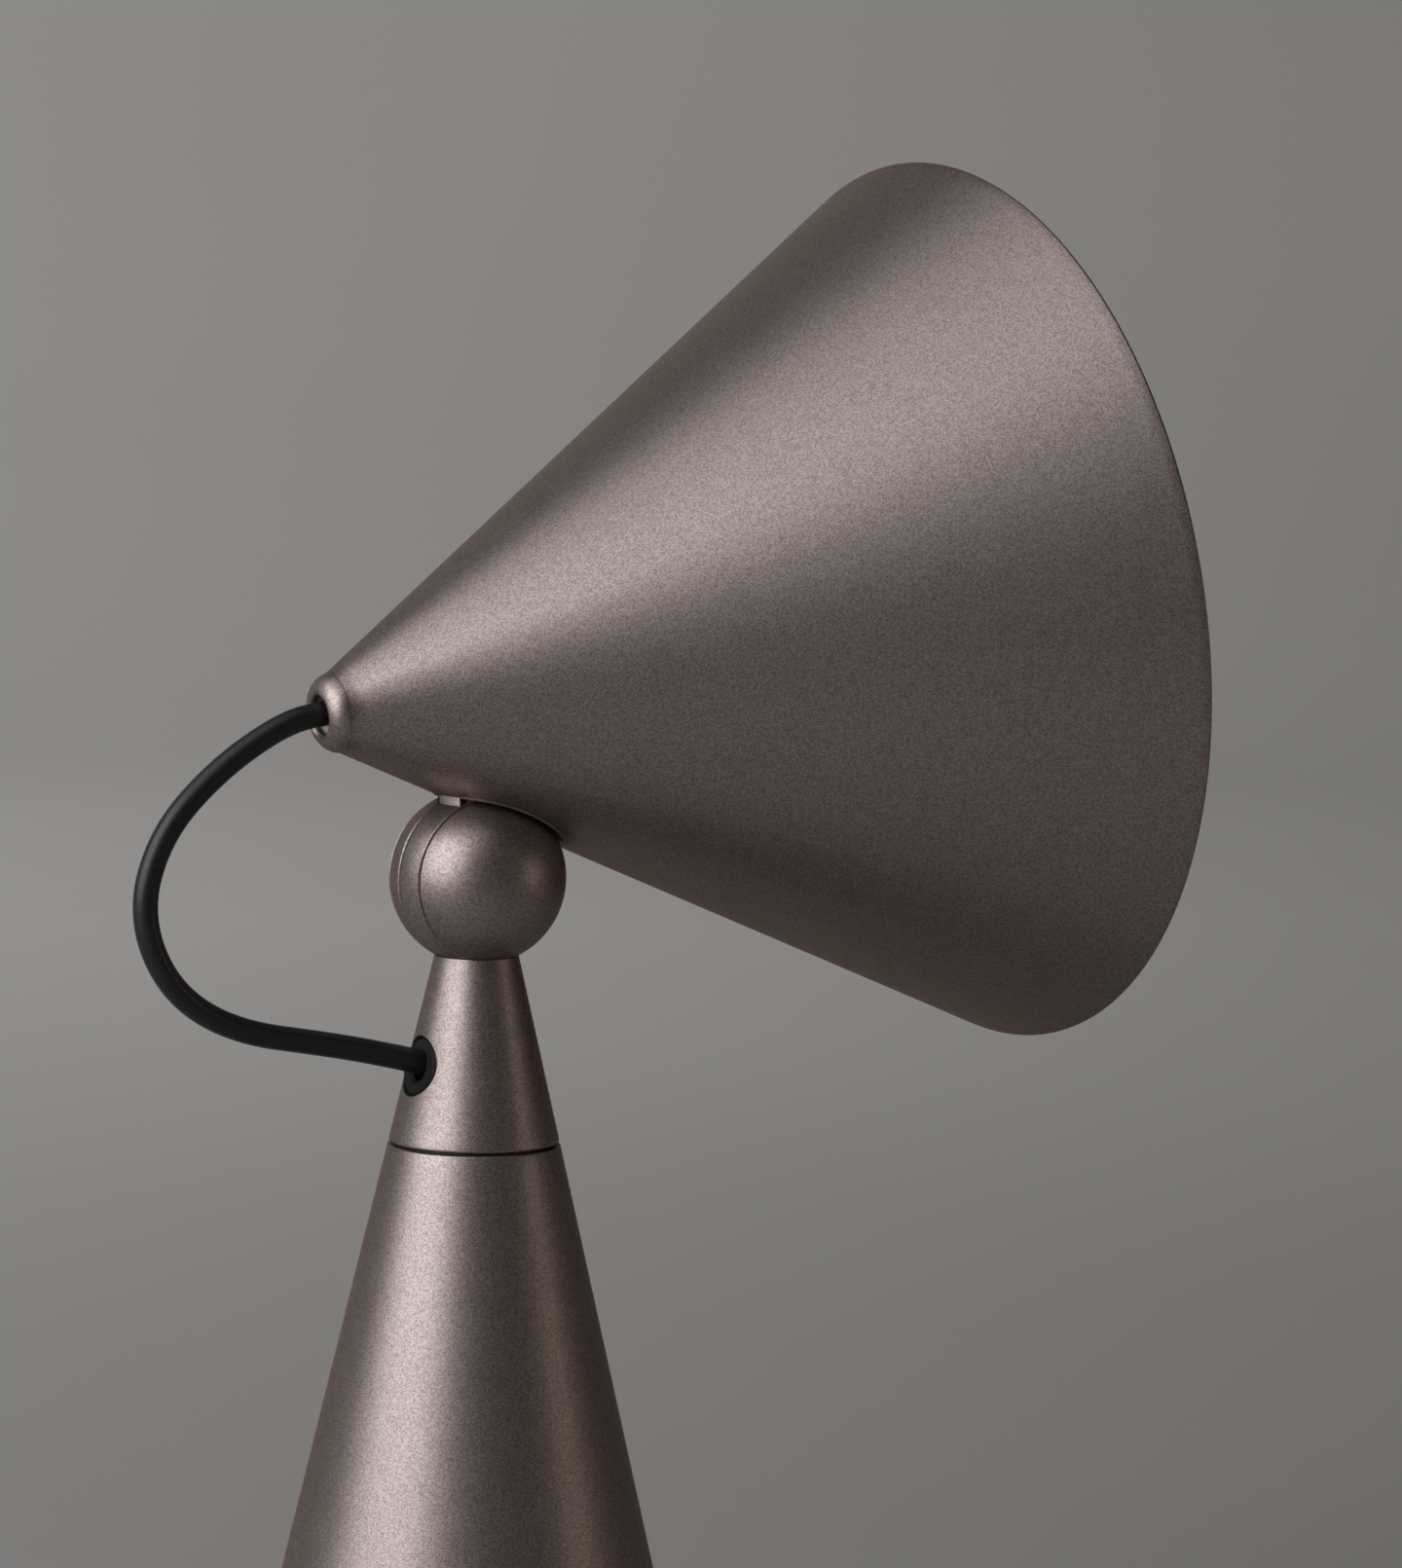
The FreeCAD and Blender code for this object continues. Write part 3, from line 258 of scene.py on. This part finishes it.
def make_materials():
    """One material for each slot of the record."""
    grey = (0.55, 0.55, 0.56)
    return {
        "bronze_paint": bronze_paint(),
        "white_enamel": white_enamel(),
        "bright_steel": metal("bright_steel", (0.50, 0.50, 0.50), (0.64, 0.63, 0.62), (0.22, 0.36),
                              0.3 * MM, 0.006 * MM, (1, 1, 6)),
        "zinc_steel": metal("zinc_steel", (0.50, 0.52, 0.55), (0.66, 0.66, 0.64), (0.28, 0.42),
                            0.8 * MM, 0.006 * MM),
        "ballast_iron": metal("ballast_iron", (0.07, 0.068, 0.066), (0.12, 0.115, 0.11), (0.55, 0.8),
                              1.2 * MM, 0.12 * MM),
        "pad_rubber": moulding("pad_rubber", (0.020, 0.020, 0.021), (0.034, 0.034, 0.035), (0.7, 0.9),
                               0.5 * MM, 0.03 * MM),
        "grommet_rubber": moulding("grommet_rubber", (0.003, 0.003, 0.0032), (0.006, 0.006, 0.0065),
                                   (0.6, 0.75), 0.3 * MM, 0.01 * MM, Specular_IOR_Level=0.3),
        "cast_aluminium": metal("cast_aluminium", (0.52, 0.52, 0.53), (0.64, 0.64, 0.65), (0.38, 0.52),
                                0.9 * MM, 0.03 * MM),
        "black_nylon": moulding("black_nylon", (0.013, 0.013, 0.014), (0.022, 0.022, 0.023), (0.4, 0.55),
                                0.25 * MM, 0.01 * MM),
        "cord_jacket": moulding("cord_jacket", (0.0065, 0.0065, 0.007), (0.011, 0.011, 0.012), (0.34, 0.46),
                                0.35 * MM, 0.012 * MM),
        "lead_insulation": moulding("lead_insulation", (0.26, 0.12, 0.05), (0.34, 0.17, 0.08), (0.4, 0.55),
                                    0.4 * MM, 0.01 * MM),
        "terminal_plastic": moulding("terminal_plastic", (0.68, 0.67, 0.62), (0.76, 0.75, 0.71), (0.4, 0.5),
                                     0.4 * MM, 0.01 * MM),
        "holder_plastic": moulding("holder_plastic", (0.022, 0.022, 0.023), (0.032, 0.032, 0.033),
                                   (0.3, 0.42), 0.3 * MM, 0.01 * MM),
        "cap_nickel": metal("cap_nickel", (0.60, 0.58, 0.54), (0.72, 0.70, 0.66), (0.2, 0.3),
                            0.5 * MM, 0.005 * MM),
        "bulb_plastic": moulding("bulb_plastic", (0.78, 0.78, 0.76), (0.84, 0.84, 0.82), (0.24, 0.32),
                                 0.6 * MM, 0.006 * MM),
        "bulb_opal": moulding("bulb_opal", (0.84, 0.83, 0.80), (0.89, 0.885, 0.86), (0.3, 0.38),
                              1.5 * MM, 0.006 * MM, Subsurface_Weight=0.15),
    }


def dress_nodes(materials):
    """Every carried-over CAD node gets the material of its slot."""
    slots = {part["node"]: part["material_slot"] for part in frame["record"]["subparts"]}
    for name, thing in NODES.items():
        thing.data.materials.clear()
        thing.data.materials.append(materials[slots[name]])


# ---------------------------------------------------------------- cord


def centreline():
    """Points along the cord's smooth line, read from its NURBS curve."""
    curve = bpy.data.curves.new("cord_line", "CURVE")
    curve.dimensions = "3D"
    curve.resolution_u = 16
    spline = curve.splines.new("NURBS")
    spline.points.add(len(CORD_ROUTE) - 1)
    for point, (x, z) in zip(spline.points, CORD_ROUTE):
        point.co = (x, 0, BALL.z + z, 1)
    spline.order_u = 3
    spline.use_endpoint_u = True
    line = bpy.data.objects.new("cord_line", curve)
    mesh = bpy.data.meshes.new_from_object(line)
    points = [vertex.co.copy() for vertex in mesh.vertices]
    bpy.data.objects.remove(line)
    bpy.data.curves.remove(curve)
    bpy.data.meshes.remove(mesh)
    return points


def make_cord(materials):
    """The round two-core cord as a tube of rings on the centreline, closed at both ends."""
    points = centreline()
    bm = bmesh.new()
    rings = []
    for i, point in enumerate(points):
        along = (points[min(i + 1, len(points) - 1)] - points[max(i - 1, 0)]).normalized()
        side = Vector((0, 1, 0))
        other = along.cross(side)
        rings.append([bm.verts.new(point + CORD_DIAMETER / 2 * (side * cos(t) + other * sin(t)))
                      for t in (2 * pi * k / CORD_SIDES for k in range(CORD_SIDES))])
    for before, after in zip(rings, rings[1:]):
        for k in range(CORD_SIDES):
            bm.faces.new((before[k], before[k - 1], after[k - 1], after[k]))
    bm.faces.new(rings[0])
    bm.faces.new(reversed(rings[-1]))
    cord = piece("jumper_flex", bm, materials, "cord_jacket")
    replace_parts(cord, "jumper_cord")
    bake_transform(cord)
    return cord


# ---------------------------------------------------------------- shaping helpers


def piece(name, bm, materials, slot, body=None, smooth=40):
    """A mesh object with its material and slot; edges sharper than smooth degrees stay crisp."""
    bmesh.ops.recalc_face_normals(bm, faces=bm.faces)
    mesh = bpy.data.meshes.new(name)
    bm.to_mesh(mesh)
    bm.free()
    mesh.shade_smooth()
    mesh.set_sharp_from_angle(angle=radians(smooth))
    made = bpy.data.objects.new(name, mesh)
    bpy.context.scene.collection.objects.link(made)
    made.data.materials.append(materials[slot])
    if body:
        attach(made, body)
    return made


def arc(centre, radius, start, end, steps):
    """Points of an arc about a centre, both ends included; angles in degrees from the first axis."""
    angles = [radians(start + (end - start) * k / steps) for k in range(steps + 1)]
    return [(centre[0] + radius * cos(t), centre[1] + radius * sin(t)) for t in angles]


def rounded(corners, steps=5):
    """A closed outline; a corner given as (across, up, radius) becomes an arc of that radius."""
    outline = []
    for i, corner in enumerate(corners):
        here = Vector(corner[:2])
        if len(corner) == 2:
            outline.append(tuple(here))
            continue
        to_last = (Vector(corners[i - 1][:2]) - here).normalized()
        to_next = (Vector(corners[(i + 1) % len(corners)][:2]) - here).normalized()
        half = to_last.angle(to_next) / 2
        back = corner[2] / tan(half)
        centre = here + (to_last + to_next).normalized() * (corner[2] / sin(half))
        first = here + to_last * back - centre
        last = here + to_next * back - centre
        swing = first.angle(last)
        for k in range(steps + 1):
            share = k / steps
            way = (first * sin(swing * (1 - share)) + last * sin(swing * share)) / sin(swing)
            outline.append(tuple(centre + way))
    return outline


FINE_SIDES = 256


def lathe(outline, place, sides=192, closed=True):
    """A closed outline of (radius, along) in millimetres, turned about the place's Z axis."""
    bm = bmesh.new()
    verts = [bm.verts.new((r * MM, 0, z * MM)) for r, z in outline]
    pairs = list(zip(verts, verts[1:]))
    if closed and (outline[0][0] > 0 or outline[-1][0] > 0):
        pairs.append((verts[-1], verts[0]))
    edges = [bm.edges.new(pair) for pair in pairs]
    bmesh.ops.spin(bm, geom=verts + edges, cent=(0, 0, 0), axis=(0, 0, 1), angle=2 * pi, steps=sides,
                   use_merge=True)
    bmesh.ops.remove_doubles(bm, verts=bm.verts, dist=1e-7)
    bmesh.ops.transform(bm, matrix=place, verts=bm.verts)
    return bm


def spaced(start, end, steps):
    """A straight run of an outline divided evenly, without its end."""
    return [(start[0] + (end[0] - start[0]) * k / steps, start[1] + (end[1] - start[1]) * k / steps)
            for k in range(steps)]


def bow(start, end, radius, steps):
    """Points of an outward bowed arc of a radius between two points of an outline."""
    chord = Vector(end) - Vector(start)
    away = sqrt(radius ** 2 - (chord.length / 2) ** 2)
    centre = (Vector(start) + Vector(end)) / 2 + Vector((-chord.y, chord.x)).normalized() * away
    first = degrees(atan2(start[1] - centre.y, start[0] - centre.x))
    last = degrees(atan2(end[1] - centre.y, end[0] - centre.x))
    return arc(centre, radius, first, last, steps)


def joined(rings, closed=False):
    """A solid from equal rings of points, walled between neighbours; closed joins the last to the first."""
    bm = bmesh.new()
    loops = [[bm.verts.new(point * MM) for point in ring] for ring in rings]
    count = len(loops[0])
    pairs = list(zip(loops, loops[1:]))
    if closed:
        pairs.append((loops[-1], loops[0]))
    for before, after in pairs:
        for k in range(count):
            bm.faces.new((before[k], before[k - 1], after[k - 1], after[k]))
    if not closed:
        bm.faces.new(loops[0])
        bm.faces.new(loops[-1][::-1])
    return bm


CARVED_CRISP = 35


def carve(target, cutter_bm, materials):
    """Take a cutter's shape away from a piece."""
    cutter = piece("cutter", cutter_bm, materials, "bronze_paint")
    modifier = target.modifiers.new("carve", "BOOLEAN")
    modifier.operation = "DIFFERENCE"
    modifier.object = cutter
    modifier.solver = "EXACT"
    graph = bpy.context.evaluated_depsgraph_get()
    target.data = bpy.data.meshes.new_from_object(target.evaluated_get(graph))
    target.modifiers.clear()
    bpy.data.objects.remove(cutter)
    target.data.shade_smooth()
    target.data.set_sharp_from_angle(angle=radians(CARVED_CRISP))
    return target


# ---------------------------------------------------------------- ball hinge

SLICE = 7.2
NEAR_GROOVE = 0.3
FAR_GROOVE = 1.0
NEAR_POCKET = (6.0, 4.5)
FAR_POCKET = (8.0, 6.8)
CAP_CRISP = 30
CAP_STEPS = 40
SEAM_BEVEL = 0.42
RADIUS = BALL_RADIUS / MM


def ball_cap(low, pocket_radius, pocket):
    """Outline of a cap of the ball from a face across its pin, bevelled at the face and hollow inside it."""
    bottom = degrees(asin(low / RADIUS)) + degrees(SEAM_BEVEL / RADIUS)
    rim = RADIUS * cos(asin(low / RADIUS))
    outline = arc((0, 0), RADIUS, 90, bottom, CAP_STEPS)
    outline += [(rim - SEAM_BEVEL, low), (pocket_radius, low)]
    outline += [(pocket_radius, low + pocket), (0, low + pocket)]
    return outline


def make_ball(materials):
    """The two outer caps of the hinge ball: the near one moves with the shade, the far one with the neck."""
    near_frame = HINGE @ Matrix.Rotation(pi, 4, "X")
    near = lathe(ball_cap(SLICE + NEAR_GROOVE, *NEAR_POCKET), near_frame, closed=False)
    normal = Matrix.Rotation(radians(CAP_TILT), 3, "Y") @ Vector((0, 0, 1))
    tilted = BALL + normal * (CAP_FLAT * MM)
    cut = bmesh.ops.bisect_plane(near, geom=near.verts[:] + near.edges[:] + near.faces[:], dist=1e-7,
                                 plane_co=tilted, plane_no=normal, clear_outer=True)
    rim = [e for e in cut["geom_cut"] if isinstance(e, bmesh.types.BMEdge)]
    bmesh.ops.holes_fill(near, edges=rim, sides=0)
    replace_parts(piece("ball_near_cap", near, materials, "bronze_paint", "shade", CAP_CRISP), "near_cap")
    far = lathe(ball_cap(SLICE + FAR_GROOVE, *FAR_POCKET), HINGE, closed=False)
    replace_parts(piece("ball_far_cap", far, materials, "bronze_paint", "neck", CAP_CRISP), "far_cap")


# ---------------------------------------------------------------- shade

RECESS_RADIUS = 22.7
LIP_REACH = 22.2
LIP_RADIUS = 0.5
LIP_SINK = 0.25
LIP_POINTS = 220
LIP_SIDES = 14
RIM_ROUND = 0.55
WALL_WIDTH = 1.5
NOSE_HOLE = 4.6
NOSE_FACE = (5.7, 12.0)
NOSE_LIP = 1.1
NOSE_SHOULDER = (9.4, 16.41)
NOSE_ROUND = 5.0
NOSE_INSIDE = (6.52, 14.0)
SHADE_STEPS = 60
FILLET = 1.3
FILLET_DEPTH = 0.5
FILLET_START = -SLICE + 0.1
FILLET_RUN = SLICE - 0.8
FILLET_STEPS = 12
HALVINGS = 40


def make_shade(materials):
    """The spun shade: rolled nose, straight cone, softened mouth, and the round recess for the ball."""
    mouth_inside = (SHADE_MOUTH[0] - WALL_WIDTH, SHADE_MOUTH[1])
    outline = [(NOSE_HOLE, NOSE_INSIDE[1])]
    outline += arc((NOSE_FACE[0], NOSE_FACE[1] + NOSE_LIP), NOSE_LIP, 180, 270, 6)
    outline += bow(NOSE_FACE, NOSE_SHOULDER, NOSE_ROUND, 14)[1:-1]
    outline += spaced(NOSE_SHOULDER, SHADE_MOUTH, SHADE_STEPS)
    outline += [(*SHADE_MOUTH, RIM_ROUND), (*mouth_inside, RIM_ROUND)]
    outline += spaced(mouth_inside, NOSE_INSIDE, SHADE_STEPS)[1:]
    outline += [NOSE_INSIDE]
    spun = lathe(rounded(outline), SHADE, FINE_SIDES)
    shell = piece("shade_spun", spun, materials, "bronze_paint", "shade")
    recess = lathe(arc((0, 0), RECESS_RADIUS, -90, 90, 64), HINGE, 160, closed=False)
    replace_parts(carve(shell, recess, materials), "shade_shell")


def lip_point(u):
    """A point where the shade's cone meets the sphere of the lip, in the shade's frame."""
    stretch = SHADE_SLOPE ** 2 + 1
    rest = BALL_IN_SHADE.length_squared - LIP_REACH ** 2
    widest = acos((sqrt(stretch * rest) - BALL_IN_SHADE.z) / (BALL_IN_SHADE.x * SHADE_SLOPE))
    around = widest * sin(u)
    middle = BALL_IN_SHADE.x * SHADE_SLOPE * cos(around) + BALL_IN_SHADE.z
    spread = sqrt(max(middle ** 2 - stretch * rest, 0))
    along = (middle + spread * (1 if cos(u) > 0 else -1)) / stretch
    radius = along * SHADE_SLOPE
    return Vector((radius * cos(around), radius * sin(around), along)), around


def cone_normal(around):
    """Outward direction of the shade's cone."""
    flat = cos(SHADE_HALF_ANGLE)
    return Vector((flat * cos(around), flat * sin(around), -sin(SHADE_HALF_ANGLE)))


def make_lip(materials):
    """The rolled edge of the ball's cup, standing slightly proud of the shade."""
    spots = [lip_point(2 * pi * (k + 0.5) / LIP_POINTS) for k in range(LIP_POINTS)]
    rings = []
    for k, (spot, around) in enumerate(spots):
        normal = cone_normal(around)
        run = (spots[(k + 1) % LIP_POINTS][0] - spots[k - 1][0]).normalized()
        across = run.cross(normal).normalized()
        centre = spot - normal * LIP_SINK
        turns = [2 * pi * j / LIP_SIDES for j in range(LIP_SIDES)]
        rings.append([SHADE @ ((centre + (across * cos(t) + normal * sin(t)) * LIP_RADIUS) * MM) / MM
                      for t in turns])
    piece("cup_lip", joined(rings, closed=True), materials, "bronze_paint", "shade", 80)


def gap_to_cone(spot):
    """Distance of a point of the row frame, in millimetres, from the outside of the shade's cone."""
    local = SHADE.inverted() @ (spot * MM) / MM
    return sqrt(local.x ** 2 + local.y ** 2) * cos(SHADE_HALF_ANGLE) - local.z * sin(SHADE_HALF_ANGLE)


def fillet_section(y):
    """Section of the fillet between the tongue's round edge and the shade, at a distance along the pin."""
    middle = BALL / MM + Vector((0, y, 0))
    rim = sqrt(RADIUS ** 2 - y ** 2)
    low, high = radians(180), radians(90)
    for _ in range(HALVINGS):
        angle = (low + high) / 2
        centre = middle + Vector((cos(angle), 0, sin(angle))) * (rim + FILLET)
        if gap_to_cone(centre) > FILLET:
            low = angle
        else:
            high = angle
    local = SHADE.inverted() @ (centre * MM)
    inward = -(SHADE.to_3x3() @ cone_normal(atan2(local.y, local.x)))
    on_ball = (middle - centre).normalized()
    swing = on_ball.angle(inward)
    section = []
    for k in range(FILLET_STEPS + 1):
        share = k / FILLET_STEPS
        way = (on_ball * sin(swing * (1 - share)) + inward * sin(swing * share)) / sin(swing)
        section.append(centre + way * FILLET)
    section.append(section[-1] + inward * FILLET_DEPTH)
    section.append(section[0] + on_ball * FILLET_DEPTH)
    return section


def make_fillet(materials):
    """The soft corner where the hinge's tongue runs into the underside of the shade, on the nose side."""
    stops = [FILLET_START + FILLET_RUN * k / FILLET_STEPS for k in range(FILLET_STEPS + 1)]
    bm = joined([fillet_section(y) for y in stops])
    piece("hinge_fillet", bm, materials, "bronze_paint", "shade")


# ---------------------------------------------------------------- stand

STAND_ANGLE = 13.1
STAND_SLOPE = tan(radians(STAND_ANGLE))
STAND_RADIUS = 70.0
SEAM_EDGE = 0.4
HOLE_REACH = 7.0
BASE_FOOT = 1.5
BASE_TOP = 213.65
BASE_WALL = 1.6
FLANGE_TOP = 210.45
FLANGE_UNDER = 207.95
FLANGE_BORE = 13.0
FLANGE_HOLE = 1.6
FLANGE_HOLE_CIRCLE = 15.2
FLANGE_HOLE_TURNS = (30, 150, 270)
INLET_HEIGHT = 42.0
INLET_HOLE = 5.0
NECK_FOOT = 214.35
NECK_WALL = 2.05
NECK_RIM = 9.9
SEAT_GAP = 0.15
SEAT_WIDTH = 1.85
GROMMET_DROP = 43.8
GROMMET_HOLE = 7.3


def stand_width(height, inset=0.0):
    return STAND_RADIUS - height * STAND_SLOPE - inset


def stand_hole(height, radius):
    """A round cutter square to the back of the stand's cone."""
    place = (Matrix.Translation(Vector((-stand_width(height), 0, height)) * MM)
             @ Matrix.Rotation(radians(STAND_ANGLE - 90), 4, "Y"))
    return plug(radius, -HOLE_REACH, HOLE_REACH, place, 96)


def plug(radius, low, high, place, sides):
    """A plain round cutter between two heights."""
    return lathe([(0, low), (radius, low), (radius, high), (0, high)], place, sides, closed=False)


def stand_run(low, high, steps):
    """Points up the stand's outside between two heights, without either end."""
    return spaced((stand_width(low), low), (stand_width(high), high), steps)[1:]


def turned_cone(name, outline, materials, body):
    """A turned cone of the stand, standing on the frame's own Z axis."""
    cone = lathe(rounded(outline), Matrix.Identity(4), FINE_SIDES)
    return piece(name, cone, materials, "bronze_paint", body)


def make_base(materials):
    """The lower cone with its inner flange, softened at the foot and at the joint."""
    outline = [(stand_width(BASE_FOOT), BASE_FOOT, SEAM_EDGE)]
    outline += stand_run(BASE_FOOT, BASE_TOP, 60)
    outline += [(stand_width(BASE_TOP), BASE_TOP, SEAM_EDGE),
                (stand_width(BASE_TOP, BASE_WALL), BASE_TOP),
                (stand_width(FLANGE_TOP, BASE_WALL), FLANGE_TOP),
                (FLANGE_BORE, FLANGE_TOP),
                (FLANGE_BORE, FLANGE_UNDER),
                (stand_width(FLANGE_UNDER, BASE_WALL), FLANGE_UNDER),
                (stand_width(BASE_FOOT, BASE_WALL), BASE_FOOT)]
    base = turned_cone("base_turned", outline, materials, "base")
    carve(base, stand_hole(INLET_HEIGHT, INLET_HOLE), materials)
    for turn in FLANGE_HOLE_TURNS:
        centre = Vector((FLANGE_HOLE_CIRCLE, 0, FLANGE_UNDER - 3))
        place = Matrix.Rotation(radians(turn), 4, "Z") @ Matrix.Translation(centre * MM)
        carve(base, plug(FLANGE_HOLE, 0, 8, place, 32), materials)
    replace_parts(base, "base_cone")


def make_neck(materials):
    """The upper cone, softened at the joint, with the ball's seat at its top and the grommet's hole."""
    seat = RADIUS + SEAT_GAP
    ball_height = BALL.z / MM
    rim = ball_height - sqrt(seat ** 2 - NECK_RIM ** 2)
    outline = [(stand_width(NECK_FOOT), NECK_FOOT, SEAM_EDGE)]
    outline += stand_run(NECK_FOOT, rim, 24)
    outline += arc((0, ball_height), seat, degrees(-acos(stand_width(rim) / seat)),
                   degrees(-acos((stand_width(rim) - SEAT_WIDTH) / seat)), 6)
    outline += [(stand_width(NECK_FOOT, NECK_WALL), NECK_FOOT)]
    neck = turned_cone("neck_turned", outline, materials, "neck")
    carve(neck, stand_hole(ball_height - GROMMET_DROP, GROMMET_HOLE), materials)
    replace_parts(neck, "neck_cone")


# ---------------------------------------------------------------- studio

STAGE_RADIUS = 4.2
STAGE_BEND = 1.2
STAGE_HEIGHT = 3.6
STAGE_SIDES = 96
BEND_STEPS = 15


def make_stage():
    """A plain grey floor that curves up into a round backdrop on every side."""
    bm = bmesh.new()
    outline = [(0.0, 0.0)]
    outline += [(STAGE_RADIUS - STAGE_BEND + STAGE_BEND * sin(a), STAGE_BEND - STAGE_BEND * cos(a))
                for a in (radians(90 * k / BEND_STEPS) for k in range(BEND_STEPS + 1))]
    outline.append((STAGE_RADIUS, STAGE_HEIGHT))
    verts = [bm.verts.new((r, 0, z)) for r, z in outline]
    edges = [bm.edges.new(pair) for pair in zip(verts, verts[1:])]
    bmesh.ops.spin(bm, geom=verts + edges, cent=(0, 0, 0), axis=(0, 0, 1), angle=2 * pi, steps=STAGE_SIDES,
                   use_merge=True)
    bmesh.ops.remove_doubles(bm, verts=bm.verts, dist=1e-5)
    mesh = bpy.data.meshes.new("stage")
    bm.to_mesh(mesh)
    bm.free()
    mesh.shade_smooth()
    surface = Surface("stage")
    surface.colour(surface.noise(0.6, 2), (0.30, 0.297, 0.292), (0.315, 0.312, 0.307))
    surface.rough(surface.noise(0.3, 2), 0.85, 0.9)
    mesh.materials.append(surface.material)
    stage = bpy.data.objects.new("stage", mesh)
    bpy.context.scene.collection.objects.link(stage)


def heading_of(turn, rise=0):
    """Unit vector away from the lamp; turn is counted to the right of the camera, rise above the horizon."""
    bearing = radians(CAMERA_TURN - turn)
    up = radians(rise)
    return Vector((-sin(bearing) * cos(up), -cos(bearing) * cos(up), sin(up)))


def soft_box(name, place, aim, width, height, power, colour):
    """A rectangular light at one point, facing another."""
    data = bpy.data.lights.new(name, "AREA")
    data.shape = "RECTANGLE"
    data.size = width
    data.size_y = height
    data.energy = power
    data.color = colour
    light = bpy.data.objects.new(name, data)
    bpy.context.scene.collection.objects.link(light)
    light.location = place
    light.rotation_mode = "QUATERNION"
    light.rotation_quaternion = (aim - place).to_track_quat("-Z", "Y")
    light.visible_camera = False
    return light


def wall_wash(name, turn, power, colour):
    """A light above the picture that lights only the backdrop beyond it."""
    place = heading_of(turn) * WASH_REACH + Vector((0, 0, WASH_HEIGHT))
    aim = heading_of(turn) * STAGE_RADIUS + Vector((0, 0, WASH_AIM))
    soft_box(name, place, aim, *WASH_SIZE, power, colour)


WASH_REACH = 1.7
WASH_HEIGHT = 2.4
WASH_AIM = 0.5
WASH_SIZE = (1.6, 0.6)
NEUTRAL = (1.0, 0.99, 0.975)
WARM = (1.0, 0.90, 0.80)
KEY_COLOUR = (1.0, 0.985, 0.98)
FILL_COLOUR = (1.0, 0.80, 0.66)
SURROUND_COLOUR = (0.9, 0.95, 1.0, 1)
SURROUND_STRENGTH = 0.03


def make_lights():
    """A large key and a top light on the left, a weak warm fill, backdrop washes and a dim surround."""
    soft_box("key", BALL + 1.6 * heading_of(-57, 24), BALL, width=1.7, height=1.5, power=23,
             colour=KEY_COLOUR)
    soft_box("top", BALL + 1.7 * heading_of(-60, 62), BALL, width=1.9, height=1.6, power=9.5,
             colour=KEY_COLOUR)
    soft_box("warm_fill", BALL + 2.2 * heading_of(77, 2), BALL, width=0.4, height=1.2, power=1.7,
             colour=FILL_COLOUR)
    wall_wash("wash_main", turn=-157, power=66, colour=NEUTRAL)
    wall_wash("wash_left", turn=-70, power=14, colour=NEUTRAL)
    wall_wash("wash_right", turn=70, power=8, colour=WARM)
    wall_wash("wash_camera", turn=0, power=6, colour=WARM)
    world = bpy.data.worlds.new("surround")
    world.use_nodes = True
    world.node_tree.nodes["Background"].inputs["Color"].default_value = SURROUND_COLOUR
    world.node_tree.nodes["Background"].inputs["Strength"].default_value = SURROUND_STRENGTH
    bpy.context.scene.world = world
    bpy.context.scene.view_settings.view_transform = "Standard"


make_camera()
MATERIALS = make_materials()
dress_nodes(MATERIALS)
make_cord(MATERIALS)
make_ball(MATERIALS)
make_shade(MATERIALS)
make_lip(MATERIALS)
make_fillet(MATERIALS)
make_base(MATERIALS)
make_neck(MATERIALS)
make_stage()
make_lights()
